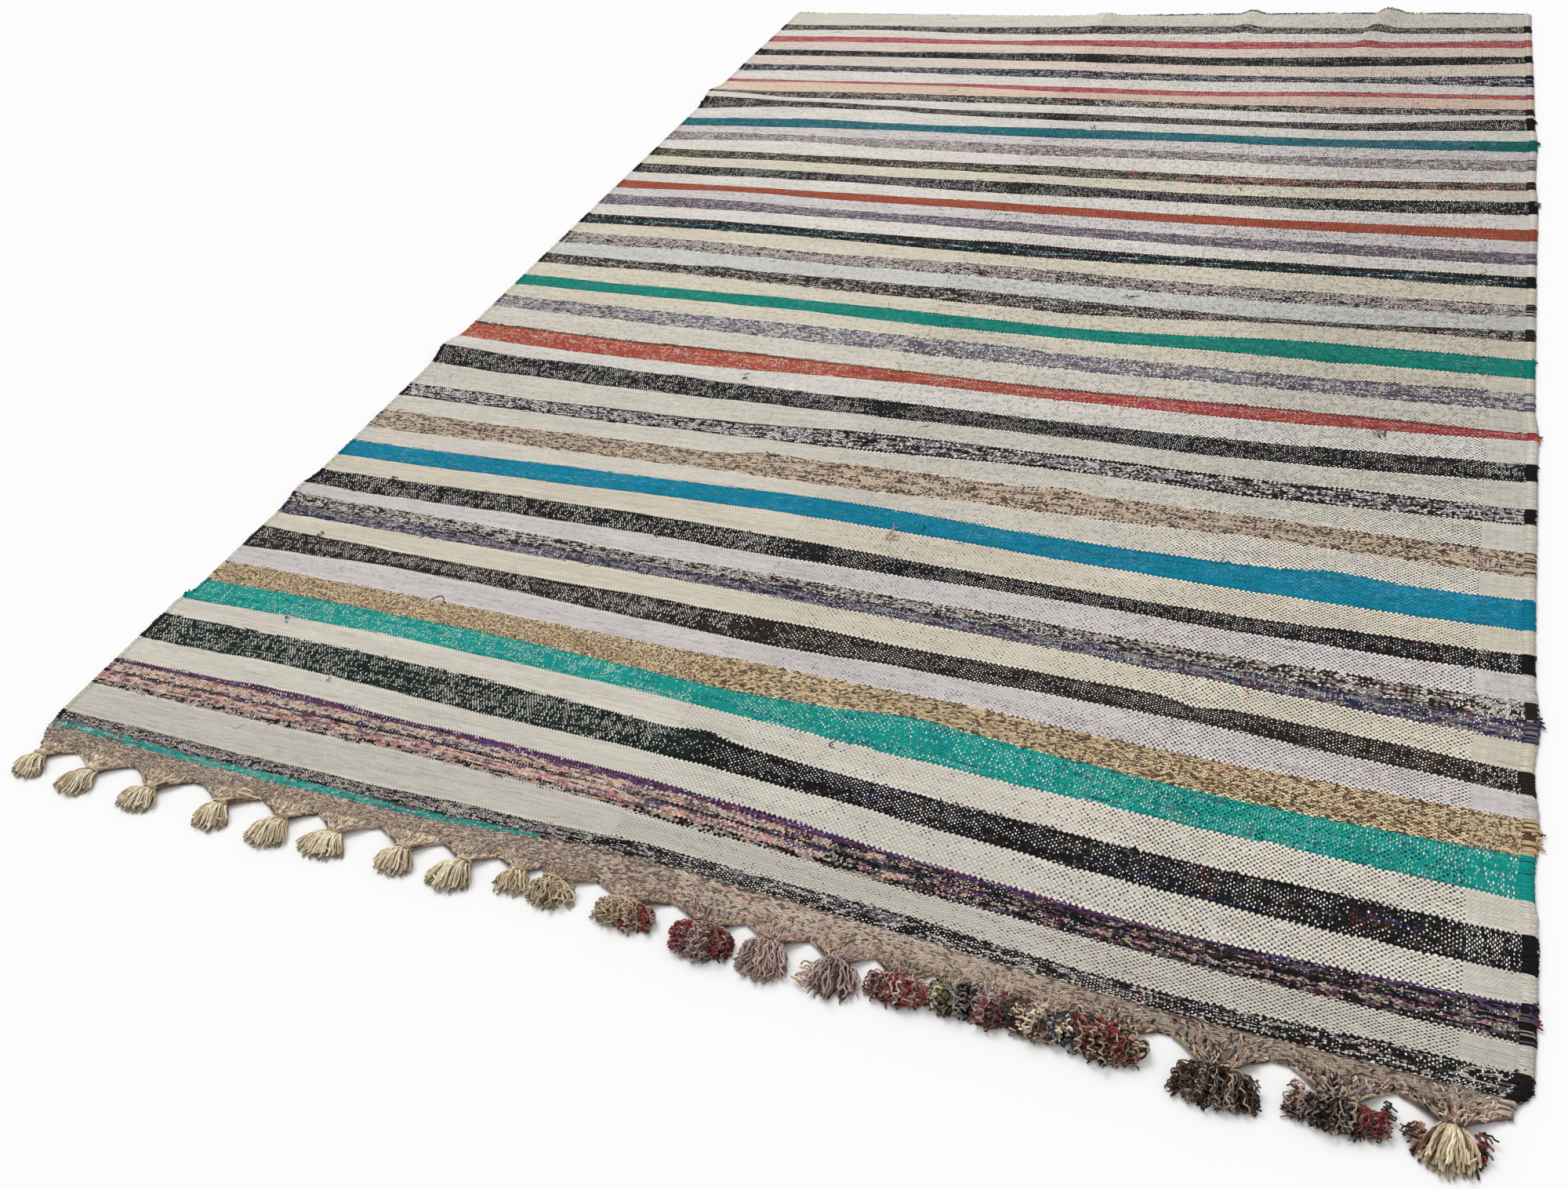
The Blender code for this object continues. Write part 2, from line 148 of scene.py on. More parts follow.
BLENDS = {
    "tweed": Blend(FAWN_GREY, CINDER, PINKISH, 0.38, 0.32, 2.6, 0.28, 0.2),
    "late_tweed": Blend(FAWN_GREY, PINKISH, CINDER, 0.28, 0.38, 1.3, 0.60, 0.25),
    "late_magpie": Blend(BLACK, OAT, PLUM, 0.66, 0.14, 3.5, 0.30, 0.7),
    "late_salmon": Blend(BLACK, TAUPE, WINE, 0.48, 0.26, 2.0, 0.55, 0.7),
    "late_forest": Blend(BROWN_BLACK, FAWN_BROWN, BRICK, 0.50, 0.34, 2.5, 0.50, 0.4),
    "late_motley": Blend(BLACK, PLUM, RUSSET, 0.52, 0.26, 2.0, 0.55, 0.7),
    "late_wine": Blend(PURPLE, BLACK, NAVY, 0.46, 0.36, 3.0, 0.35, 0.5),
    "late_brick": Blend(CRIMSON, BRICK, ORANGE, 0.52, 0.28, 3.5, 0.25, 0.35),
    "teal_line": Blend(SEA_TEAL, TEAL, CINDER, 0.46, 0.32, 6.0, 0.40, 0.3),
    "magpie": Blend(BLACK, TAUPE, PLUM, 0.50, 0.26, 3.0, 0.50, 0.45),
    "greyed": plain(GREYED),
    "oat": plain(OAT),
    "milk": plain(MILK),
    "ecru": plain(ECRU),
    "chalk": plain(CHALK),
    "blue_white": plain(BLUE_WHITE),
    "peach": plain(PEACH),
    "biscuit": plain(BISCUIT),
    "lilac": Blend(LILAC_WHITE, LILAC_WHITE, DOVE_GREY, 0.52, 0.34, 2.0, 0.10, 0.6),
    "black": plain(BLACK, NAVY, 0.7, 0.75),
    "green_black": plain(GREEN_BLACK, BLACK, 0.6, 0.75),
    "brown_black": plain(BROWN_BLACK, BLACK, 0.6, 0.75),
    "jet": plain(BLACK, BROWN_BLACK, 0.6, 0.35),
    "teal": plain(TEAL, PETROL, 0.25, 0.55),
    "turquoise": plain(TURQUOISE, PETROL, 0.2, 0.12),
    "emerald": plain(EMERALD, PETROL, 0.2, 0.12),
    "petrol": plain(PETROL, BLACK, 0.3, 0.22),
    "sea_green": plain(SEA_GREEN, PETROL, 0.2, 0.12),
    "brick": Blend(BRICK, RUST, ORANGE, 0.50, 0.26, 3.5, 0.25, 0.35),
    "rust": plain(RUST, BRICK, 0.25, 0.12),
    "old_brick": Blend(DUSTY_RED, CRIMSON, WINE, 0.50, 0.32, 3.0, 0.25, 0.25),
    "bottom_lines": Blend(BLACK, TAUPE, SALMON, 0.46, 0.26, 2.5, 0.3, 0.5),
    "salmon": Blend(PINKISH, SALMON, PLUM, 0.32, 0.32, 3.5, 0.50, 0.5),
    "motley": Blend(RUSSET, PINKISH, PLUM, 0.34, 0.30, 3.0, 0.55, 0.5),
    "night": Blend(BLACK, NAVY, TAUPE, 0.46, 0.36, 4.0, 0.35, 0.4),
    "wine": Blend(VIOLET, WINE, NAVY, 0.44, 0.28, 5.0, 0.35, 0.5),
    "tan_tweed": Blend(STRAW, BROWN, TAN, 0.38, 0.30, 1.0, 0.20, 0.4),
    "bluebell": Blend(NAVY, PLUM, GREY, 0.40, 0.26, 2.5, 0.5, 0.5),
    "ash": Blend(BROWN_BLACK, MILK, MAUVE, 0.52, 0.18, 2.5, 0.3, 0.5),
    "heather": Blend(HAY, UMBER_BROWN, PINKISH, 0.36, 0.30, 4.5, 0.40, 0.4),
    "pepper": Blend(BLACK, CHALK, PLUM, 0.52, 0.21, 3.0, 0.3, 0.45),
    "storm": Blend(PLUM, OAT, SLATE, 0.44, 0.20, 4.0, 0.3, 0.45),
    "bark": Blend(BROWN_BLACK, MILK, MAUVE, 0.74, 0.10, 3.0, 0.3, 0.5),
    "stone": Blend(MAUVE, OAT, BROWN_BLACK, 0.44, 0.16, 3.0, 0.3, 0.5),
    "deep_teal": Blend(BLACK, PETROL, BLUE_WHITE, 0.62, 0.32, 4.0, 0.3, 0.3),
    "dove": Blend(PLUM, LILAC_WHITE, MAUVE, 0.66, 0.08, 3.0, 0.3, 0.3),
    "mist": Blend(LILAC_WHITE, LILAC_WHITE, GREY, 0.48, 0.40, 3.0, 0.15, 0.6),
    "forest": Blend(BROWN_BLACK, OLIVE, GREY, 0.66, 0.22, 3.0, 0.4, 0.4),
    "mauve": Blend(MAUVE, OAT, PLUM, 0.44, 0.16, 3.0, 0.3, 0.4),
    "umber_line": plain(BROWN, BROWN_BLACK, 0.3, 0.1),
    "midnight": Blend(NAVY, BLACK, LILAC_WHITE, 0.44, 0.38, 3.0, 0.3, 0.5)}

# The bands, near to far: the blend, and how far up its far edge lies at the stations across the rug.
STATIONS = (0.00, 0.30, 0.60, 0.90, 1.20, 1.50, 1.84)
BANDS = (
    ("tweed", 0.031, 0.027, 0.029, 0.044, 0.031, 0.016, 0.012),
    ("teal_line", 0.044, 0.038, 0.040, 0.045, 0.032, 0.017, 0.013),
    ("magpie", 0.060, 0.058, 0.060, 0.067, 0.056, 0.038, 0.044),
    ("greyed", 0.117, 0.116, 0.118, 0.108, 0.090, 0.078, 0.076),
    ("purple_lines", 0.172, 0.176, 0.170, 0.159, 0.134, 0.114, 0.121),
    ("oat", 0.219, 0.220, 0.211, 0.204, 0.184, 0.164, 0.159),
    ("green_black", 0.274, 0.275, 0.268, 0.249, 0.227, 0.212, 0.208),
    ("milk", 0.313, 0.316, 0.310, 0.297, 0.278, 0.264, 0.253),
    ("teal", 0.360, 0.360, 0.354, 0.336, 0.338, 0.317, 0.313),
    ("tan_tweed", 0.405, 0.404, 0.398, 0.392, 0.385, 0.369, 0.367),
    ("lilac", 0.447, 0.456, 0.445, 0.432, 0.432, 0.426, 0.403),
    ("brown_black", 0.499, 0.491, 0.485, 0.479, 0.468, 0.460, 0.441),
    ("ecru", 0.537, 0.535, 0.532, 0.527, 0.518, 0.504, 0.486),
    ("dusk", 0.589, 0.586, 0.575, 0.572, 0.564, 0.555, 0.556),
    ("lilac", 0.616, 0.619, 0.621, 0.612, 0.612, 0.602, 0.601),
    ("black", 0.662, 0.664, 0.666, 0.656, 0.641, 0.634, 0.640),
    ("ecru", 0.708, 0.708, 0.716, 0.713, 0.700, 0.688, 0.685),
    ("turquoise", 0.752, 0.755, 0.759, 0.763, 0.747, 0.742, 0.746),
    ("milk", 0.795, 0.797, 0.799, 0.797, 0.800, 0.802, 0.792),
    ("heather", 0.849, 0.848, 0.848, 0.859, 0.856, 0.852, 0.846),
    ("oat", 0.900, 0.895, 0.895, 0.900, 0.908, 0.898, 0.908),
    ("pepper_lines", 0.942, 0.934, 0.933, 0.949, 0.947, 0.943, 0.945),
    ("oat", 1.013, 1.001, 0.998, 0.997, 0.995, 0.991, 1.010),
    ("black", 1.064, 1.061, 1.048, 1.045, 1.037, 1.041, 1.054),
    ("chalk", 1.109, 1.097, 1.095, 1.103, 1.097, 1.098, 1.115),
    ("brick_lines", 1.171, 1.156, 1.152, 1.141, 1.133, 1.138, 1.135),
    ("milk", 1.231, 1.221, 1.210, 1.199, 1.192, 1.194, 1.192),
    ("storm", 1.279, 1.267, 1.262, 1.253, 1.240, 1.240, 1.244),
    ("ecru", 1.321, 1.317, 1.311, 1.295, 1.290, 1.290, 1.288),
    ("emerald", 1.364, 1.355, 1.352, 1.340, 1.328, 1.346, 1.344),
    ("ecru", 1.415, 1.417, 1.398, 1.388, 1.378, 1.400, 1.400),
    ("bark", 1.459, 1.451, 1.444, 1.436, 1.423, 1.415, 1.436),
    ("blue_white", 1.508, 1.508, 1.494, 1.488, 1.477, 1.471, 1.481),
    ("stone", 1.559, 1.555, 1.538, 1.536, 1.523, 1.516, 1.521),
    ("ecru", 1.600, 1.604, 1.596, 1.578, 1.577, 1.581, 1.578),
    ("deep_lines", 1.645, 1.647, 1.634, 1.629, 1.617, 1.617, 1.619),
    ("chalk", 1.694, 1.696, 1.689, 1.678, 1.664, 1.660, 1.662),
    ("dove", 1.742, 1.742, 1.726, 1.719, 1.703, 1.703, 1.703),
    ("mist", 1.777, 1.784, 1.770, 1.763, 1.753, 1.750, 1.751),
    ("rust", 1.815, 1.813, 1.804, 1.800, 1.787, 1.787, 1.796),
    ("chalk", 1.860, 1.861, 1.854, 1.842, 1.843, 1.837, 1.858),
    ("black", 1.908, 1.904, 1.895, 1.896, 1.884, 1.887, 1.912),
    ("ecru", 1.950, 1.951, 1.944, 1.936, 1.932, 1.935, 1.959),
    ("forest", 1.995, 1.990, 1.981, 1.982, 1.972, 1.971, 1.995),
    ("chalk", 2.040, 2.057, 2.040, 2.033, 2.039, 2.032, 2.046),
    ("mauve", 2.091, 2.093, 2.090, 2.085, 2.078, 2.079, 2.097),
    ("mist", 2.127, 2.136, 2.137, 2.127, 2.131, 2.128, 2.136),
    ("petrol", 2.172, 2.187, 2.175, 2.180, 2.173, 2.169, 2.188),
    ("chalk", 2.231, 2.256, 2.237, 2.224, 2.218, 2.213, 2.237),
    ("black", 2.286, 2.290, 2.268, 2.263, 2.253, 2.252, 2.297),
    ("chalk", 2.313, 2.313, 2.311, 2.308, 2.305, 2.300, 2.314),
    ("bark", 2.328, 2.354, 2.352, 2.349, 2.337, 2.338, 2.346),
    ("peach", 2.410, 2.412, 2.404, 2.385, 2.381, 2.396, 2.397),
    ("old_brick", 2.427, 2.424, 2.424, 2.417, 2.407, 2.421, 2.423),
    ("chalk", 2.481, 2.491, 2.480, 2.468, 2.465, 2.473, 2.468),
    ("midnight", 2.528, 2.525, 2.522, 2.519, 2.506, 2.508, 2.532),
    ("biscuit", 2.592, 2.589, 2.583, 2.571, 2.565, 2.573, 2.603),
    ("jet", 2.635, 2.628, 2.627, 2.628, 2.616, 2.631, 2.644),
    ("biscuit", 2.686, 2.692, 2.684, 2.679, 2.671, 2.687, 2.699),
    ("old_brick", 2.731, 2.731, 2.713, 2.724, 2.718, 2.725, 2.744),
    ("chalk", 2.776, 2.781, 2.758, 2.764, 2.772, 2.778, 2.788),
    ("bark", 2.821, 2.816, 2.809, 2.821, 2.824, 2.818, 2.833),
    ("milk", 2.960, 2.960, 2.960, 2.960, 2.960, 2.960, 2.960))

# Bands that are woven as several lines: the blend, and the share of the band's depth at which it ends.
LINES = {
    "purple_lines": (
        ("bottom_lines", 0.20), ("salmon", 0.48), ("night", 0.56), ("motley", 0.83), ("wine", 1.00)),
    "pepper_lines": (("jet", 0.07), ("pepper", 0.92), ("jet", 1.00)),
    "dusk": (("bluebell", 0.50), ("ash", 1.00)),
    "brick_lines": (("brick", 0.91), ("umber_line", 1.00)),
    "deep_lines": (("jet", 0.24), ("deep_teal", 0.62), ("jet", 1.00))}
FINE_SPUN = {"tweed": 1.7, "tan_tweed": 1.4, "magpie": 1.3}    # how many times more picks these have
TEAL_LINE_ENDS = 0.78       # the thin teal line stops at this x
YARN_CHANGES = {            # blends that give way to another: that one, and the x between which they do
    "tweed": ("late_tweed", 0.70, 1.30),
    "salmon": ("late_salmon", 0.90, 1.40),
    "motley": ("late_motley", 0.90, 1.30),
    "wine": ("late_wine", 1.20, 1.70),
    "green_black": ("black", 0.60, 1.20),
    "forest": ("late_forest", 0.90, 1.45),
    "brick": ("late_brick", 1.00, 1.40),
    "petrol": ("sea_green", 1.62, 1.90),
    "magpie": ("late_magpie", 0.60, 1.00),
    "bottom_lines": ("late_motley", 1.00, 1.50)}
BAND_RIPPLE = 0.0026        # how far a band's edge wanders between the stations
LEAST_BAND = 0.0006         # the least depth a band keeps where two edges meet
Bulge = namedtuple("Bulge", "x y rise half_width reach")
BULGES = (                  # places where the picks run out of line
    Bulge(0.905, 0.262, 0.012, 0.066, 0.034),
    Bulge(1.150, 0.338, 0.009, 0.121, 0.021),
    Bulge(1.475, 0.455, -0.010, 0.044, 0.025),
    Bulge(1.615, 0.750, 0.012, 0.066, 0.018),
    Bulge(0.750, 0.850, 0.009, 0.077, 0.023),
    Bulge(1.220, 0.860, 0.009, 0.066, 0.025),
    Bulge(0.430, 0.555, -0.007, 0.066, 0.023),
    Bulge(0.520, 1.060, 0.007, 0.088, 0.023),
    Bulge(1.040, 1.240, 0.007, 0.077, 0.025),
    Bulge(0.400, 1.440, 0.009, 0.077, 0.025),
    Bulge(1.560, 1.280, -0.007, 0.055, 0.025),
    Bulge(1.300, 1.800, 0.009, 0.077, 0.023),
    Bulge(0.980, 2.185, -0.009, 0.022, 0.016),
    Bulge(0.500, 2.250, 0.009, 0.088, 0.034),
    Bulge(1.500, 1.990, 0.009, 0.066, 0.028))

# ------------------------------------------------ the weave
COLUMNS = 162               # faces across the rug
ROW_STEP = 0.0108           # about how deep a face is
SHEET_THICKNESS = 0.0024
WARP_STEP = 0.0034          # the mixed warp, in the middle and right of the rug
FINE_WARP_STEP = 0.0022     # the cream warp, on either side of it
PICK_STEP = 0.0035          # between two wefts
DARK_WARP_FROM = 0.862
DARK_WARP_TO = 1.786
TURNED_FROM = 1.836         # from here on the weft is bundled round the last warps


def smoothstep(t):
    """0 before 0, 1 after 1, and a soft S between."""
    t = min(max(t, 0.0), 1.0)
    return t * t * (3.0 - 2.0 * t)


def along(table, s):
    """Read a (place, value) table at s, eased softly from each row to the next."""
    if s <= table[0][0]:
        return table[0][1]
    for (s0, v0), (s1, v1) in zip(table, table[1:]):
        if s <= s1:
            return v0 + (v1 - v0) * smoothstep((s - s0) / (s1 - s0))
    return table[-1][1]


def swell(distance, half_width):
    """A soft crest: 1 on its line and 0 from half_width on."""
    if abs(distance) >= half_width:
        return 0.0
    return 0.5 + 0.5 * cos(pi * distance / half_width)


def fold_height(fold, x, y):
    """How far one fold raises the cloth at (x, y)."""
    run = (y - fold.near_y) / (RUG_LENGTH - fold.near_y)
    crest_x = fold.near_x + (fold.far_x - fold.near_x) * run
    half_width = fold.left if x < crest_x else fold.right
    return fold.height * smoothstep(run) * swell(x - crest_x, half_width)


def lift_height(lift, x, y):
    """How far one lifted stretch of selvedge raises the cloth at (x, y)."""
    return lift.height * swell(y - lift.y, lift.half_length) * (1.0 - smoothstep(x / lift.reach))


def height_at(x, y):
    """Height of the cloth's underside over the floor, at a place of the plain rectangle."""
    folds = [fold_height(fold, x, y) for fold in FOLDS]
    lifts = [lift_height(lift, x, y) for lift in LIFTS]
    return max(folds + lifts)


def near_edge(x):
    """y of the weave's near edge at x."""
    return -along(NEAR_END, x)


def far_edge(x):
    """y of the weave's far edge at x."""
    return RUG_LENGTH + along(FAR_END, x)


def on_selvedges(x, y):
    """x moved onto the rug's uneven outline."""
    left = along(LEFT_SELVEDGE, y) * (1.0 - smoothstep(x / OUTLINE_REACH))
    right = along(RIGHT_SELVEDGE, y) * (1.0 - smoothstep((RUG_WIDTH - x) / OUTLINE_REACH))
    return x - left + right


def plain_y(x, y):
    """y in the plain rectangle, which the folds are laid out in, of a place on the uneven outline."""
    near = along(NEAR_END, x) * (1.0 - smoothstep(y / OUTLINE_REACH))
    far = along(FAR_END, x) * (1.0 - smoothstep((RUG_LENGTH - y) / OUTLINE_REACH))
    return y + near - far


def read_course(values, x):
    """A band's edge at x, on one smooth curve through its values at the stations."""
    last = len(STATIONS) - 2
    i = min(max(sum(x >= s for s in STATIONS) - 1, 0), last)
    x0, x1 = STATIONS[i], STATIONS[i + 1]
    slopes = []
    for j in (i, i + 1):
        a, b = max(j - 1, 0), min(j + 1, len(STATIONS) - 1)
        slopes.append((values[b] - values[a]) / (STATIONS[b] - STATIONS[a]) * (x1 - x0))
    t = (x - x0) / (x1 - x0)
    return ((2 * t**3 - 3 * t**2 + 1) * values[i] + (t**3 - 2 * t**2 + t) * slopes[0]
            + (3 * t**2 - 2 * t**3) * values[i + 1] + (t**3 - t**2) * slopes[1])


def lay_bands():
    """The woven bands, near to far: the name of each blend, and its far edge's values at the stations."""
    laid = []
    before = tuple(near_edge(x) for x in STATIONS)
    for name, *values in BANDS:
        for blend, share in LINES.get(name, ((name, 1.0),)):
            edge = tuple(a + (b - a) * share for a, b in zip(before, values))
            laid.append((blend, edge))
        before = values
    return laid


LAID = lay_bands()


def edges_at(x):
    """y of every band's edge at x, from the near edge of the first band to the far edge of the last."""
    edges = [near_edge(x)]
    for number, (_, values) in enumerate(LAID):
        ripple = BAND_RIPPLE * noise.noise(Vector((x * 7.0, number * 3.7, 0.0)))
        course = read_course(values, x) + ripple
        for bulge in BULGES:
            nearness = swell(x - bulge.x, bulge.half_width) * swell(course - bulge.y, bulge.reach)
            course += bulge.rise * nearness
        edges.append(max(course, edges[-1] + LEAST_BAND))
    edges[-1] = far_edge(x)
    return edges


def add_mesh(name, mesh):
    """A new object in the scene for a finished mesh, at the origin."""
    item = bpy.data.objects.new(name, mesh)
    bpy.context.scene.collection.objects.link(item)
    return item


# ------------------------------------------------ node trees
class Number:
    """A number that a node tree works out, with Python's own signs for the sums."""

    def __init__(self, graph, socket):
        self.graph = graph
        self.socket = socket

    def __add__(self, other):
        return self.graph.math("ADD", self, other)

    def __sub__(self, other):
        return self.graph.math("SUBTRACT", self, other)

    def __rsub__(self, other):
        return self.graph.math("SUBTRACT", other, self)

    def __mul__(self, other):
        return self.graph.math("MULTIPLY", self, other)

    def __truediv__(self, other):
        return self.graph.math("DIVIDE", self, other)

    def __lt__(self, other):
        return self.graph.math("LESS_THAN", self, other)

    def __gt__(self, other):
        return self.graph.math("GREATER_THAN", self, other)

    def floor(self):
        return self.graph.math("FLOOR", self)

    def abs(self):
        return self.graph.math("ABSOLUTE", self)

    __radd__ = __add__
    __rmul__ = __mul__


class Graph:
    """A node tree, and short calls for the nodes that the finishes are made of."""

    def __init__(self, tree):
        self.tree = tree

    def feed(self, socket, value):
        """Link a value that the tree works out to a socket, or set the socket to a plain value."""
        if isinstance(value, Number):
            value = value.socket
        if isinstance(value, bpy.types.NodeSocket):
            self.tree.links.new(value, socket)
        elif socket.type == "RGBA" and len(value) == 3:
            socket.default_value = (*value, 1.0)
        else:
            socket.default_value = value

    def node(self, kind, inputs=None, **settings):
        """A new node with its inputs fed and its settings set."""
        item = self.tree.nodes.new(kind)
        for name, value in settings.items():
            setattr(item, name, value)
        for name, value in (inputs or {}).items():
            self.feed(item.inputs[name], value)
        return item

    def first(self, kind, inputs=None, **settings):
        """The first output of a new node."""
        return self.node(kind, inputs, **settings).outputs[0]

    def math(self, operation, *values, clamp=False):
        """A sum of numbers, by the name that Blender has for it."""
        item = self.node("ShaderNodeMath", operation=operation, use_clamp=clamp)
        for socket, value in zip(item.inputs, values):
            self.feed(socket, value)
        return Number(self, item.outputs[0])

    def point(self, x, y, z=0.0):
        """A place, or a colour, from three numbers."""
        return self.first("ShaderNodeCombineXYZ", {"X": x, "Y": y, "Z": z})

    def parts(self, vector):
        """The three numbers of a place or a colour."""
        item = self.node("ShaderNodeSeparateXYZ", {"Vector": vector})
        return [Number(self, item.outputs[i]) for i in range(3)]

    def noise(self, x, y, z=0.0, detail=1.0):
        """Soft noise round 0.5, one bump to a unit."""
        settings = {"Vector": self.point(x, y, z), "Scale": 1.0, "Detail": detail}
        return Number(self, self.node("ShaderNodeTexNoise", settings).outputs["Fac"])

    def tints(self, x, y, z=0.0):
        """A soft noise for each of the three colours."""
        settings = {"Vector": self.point(x, y, z), "Scale": 1.0, "Detail": 1.0}
        return self.node("ShaderNodeTexNoise", settings).outputs["Color"]

    def dice(self, x, y):
        """Three even random numbers for each whole-numbered place."""
        item = self.node("ShaderNodeTexWhiteNoise", {"Vector": self.point(x, y)}, noise_dimensions="2D")
        return self.parts(item.outputs["Color"])

    def ease(self, value, low, high):
        """0 at low and 1 at high, with a soft S between; low may be the greater one."""
        item = self.node("ShaderNodeMapRange", {"Value": value, "From Min": low, "From Max": high},
                         interpolation_type="SMOOTHSTEP")
        return Number(self, item.outputs["Result"])

    def blend(self, share, first, second, how="MIX"):
        """A colour between two, or the second laid over the first in another way."""
        item = self.node("ShaderNodeMix", data_type="RGBA", blend_type=how)
        self.feed(item.inputs[0], share)
        self.feed(item.inputs[6], first)
        self.feed(item.inputs[7], second)
        return item.outputs[2]

    def shade(self, colour, amount):
        """A colour made darker or lighter by a number."""
        return self.blend(1.0, colour, self.point(amount, amount, amount), how="MULTIPLY")

    def select(self, chosen, first, second):
        """A number: the first where chosen is 0, and the second where it is 1."""
        return first + (second - first) * chosen


STOPS = 32                  # a colour ramp holds this many colours
TABLE_LAST = 255            # and is read from a table of 256 places
STOP_STEP = 8               # places of that table for each colour
DASH_SCALE = 10.0           # dashes are kept in the ramps as tenths


def ramp_of(graph, place, colours):
    """A colour ramp that holds one colour for each whole number."""
    ramp = graph.node("ShaderNodeValToRGB")
    ramp.color_ramp.interpolation = "CONSTANT"
    stops = ramp.color_ramp.elements
    stops.remove(stops[1])
    for i, colour in enumerate(colours):
        stop = stops[0] if i == 0 else stops.new(i * STOP_STEP / TABLE_LAST)
        stop.position = i * STOP_STEP / TABLE_LAST
        stop.color = (*colour, 1.0)
    graph.feed(ramp.inputs[0], (place * STOP_STEP + STOP_STEP / 2.0) / TABLE_LAST)
    return ramp.outputs[0]


def read_band(graph, index, colours):
    """The colour that belongs to a band's number."""
    found = ramp_of(graph, index, colours[:STOPS])
    for start in range(STOPS, len(colours), STOPS):
        later = ramp_of(graph, index - start, colours[start:start + STOPS])
        found = graph.blend(index > start - 0.5, found, later)
    return found


def numbered_blends():
    """Every blend by its number: the bands' own, then those that some bands change to."""
    return [BLENDS[name] for name, _ in LAID] + [BLENDS[name] for name, _, _ in YARN_CHANGES.values()]


def weft_colour(graph, index, run):
    """The weft's colour: run, from 0 to 1, says which of the band's three yarns lies here."""
    blends = numbered_blends()
    ends = [(b.first_share, b.first_share + b.second_share, 0.0) for b in blends]
    first_ends, second_ends, _ = graph.parts(read_band(graph, index, ends))
    first = read_band(graph, index, [b.first for b in blends])
    second = read_band(graph, index, [b.second for b in blends])
    third = read_band(graph, index, [b.third for b in blends])
    return graph.blend(run > second_ends, graph.blend(run > first_ends, first, second), third)


def dash_fleck_shows(graph, index):
    """A band's dash, fleck and share of shown warp."""
    blends = numbered_blends()
    found = read_band(graph, index, [(b.dash / DASH_SCALE, b.fleck, b.shows) for b in blends])
    dash, fleck, shows = graph.parts(found)
    return dash * DASH_SCALE, fleck, shows


def new_finish(name):
    """A new material, its graph and its shader."""
    material = bpy.data.materials.new(name)
    material.use_nodes = True
    shader = material.node_tree.nodes["Principled BSDF"]
    shader.inputs["Roughness"].default_value = 0.95
    shader.inputs["Specular IOR Level"].default_value = 0.08
    shader.inputs["Sheen Weight"].default_value = 0.01
    shader.inputs["Sheen Roughness"].default_value = 0.5
    return material, Graph(material.node_tree), shader


WARP_STREAKS = (1.000, 1.262, 1.380, 1.530)     # the x of warps that are tinged with red in places
STREAK_HALF = 0.0045
RED_WARP = (0.20, 0.05, 0.04)
GREEN_WARP = (0.06, 0.08, 0.03)
BLUE_WARP = (0.40, 0.44, 0.46)
CLOSED_AT = 0.900           # about this x hardly any warp shows
LOOSENS = (1.25, 1.55)      # between these x the weave grows looser
NEARER = (1.7, 0.9)         # between these y it grows looser still, on the right
GRITTIER = (0.6, 1.5)       # and between these the yarns grow grittier
CORNER_WEAR = 0.22          # how much darker the near right corner is


def ellipse(across, depth, half_width, half_height):
    """1 on the rim of an upright ellipse, less inside it and more outside."""
    return (across * across) / (half_width * half_width) + (depth * depth) / (half_height * half_height)


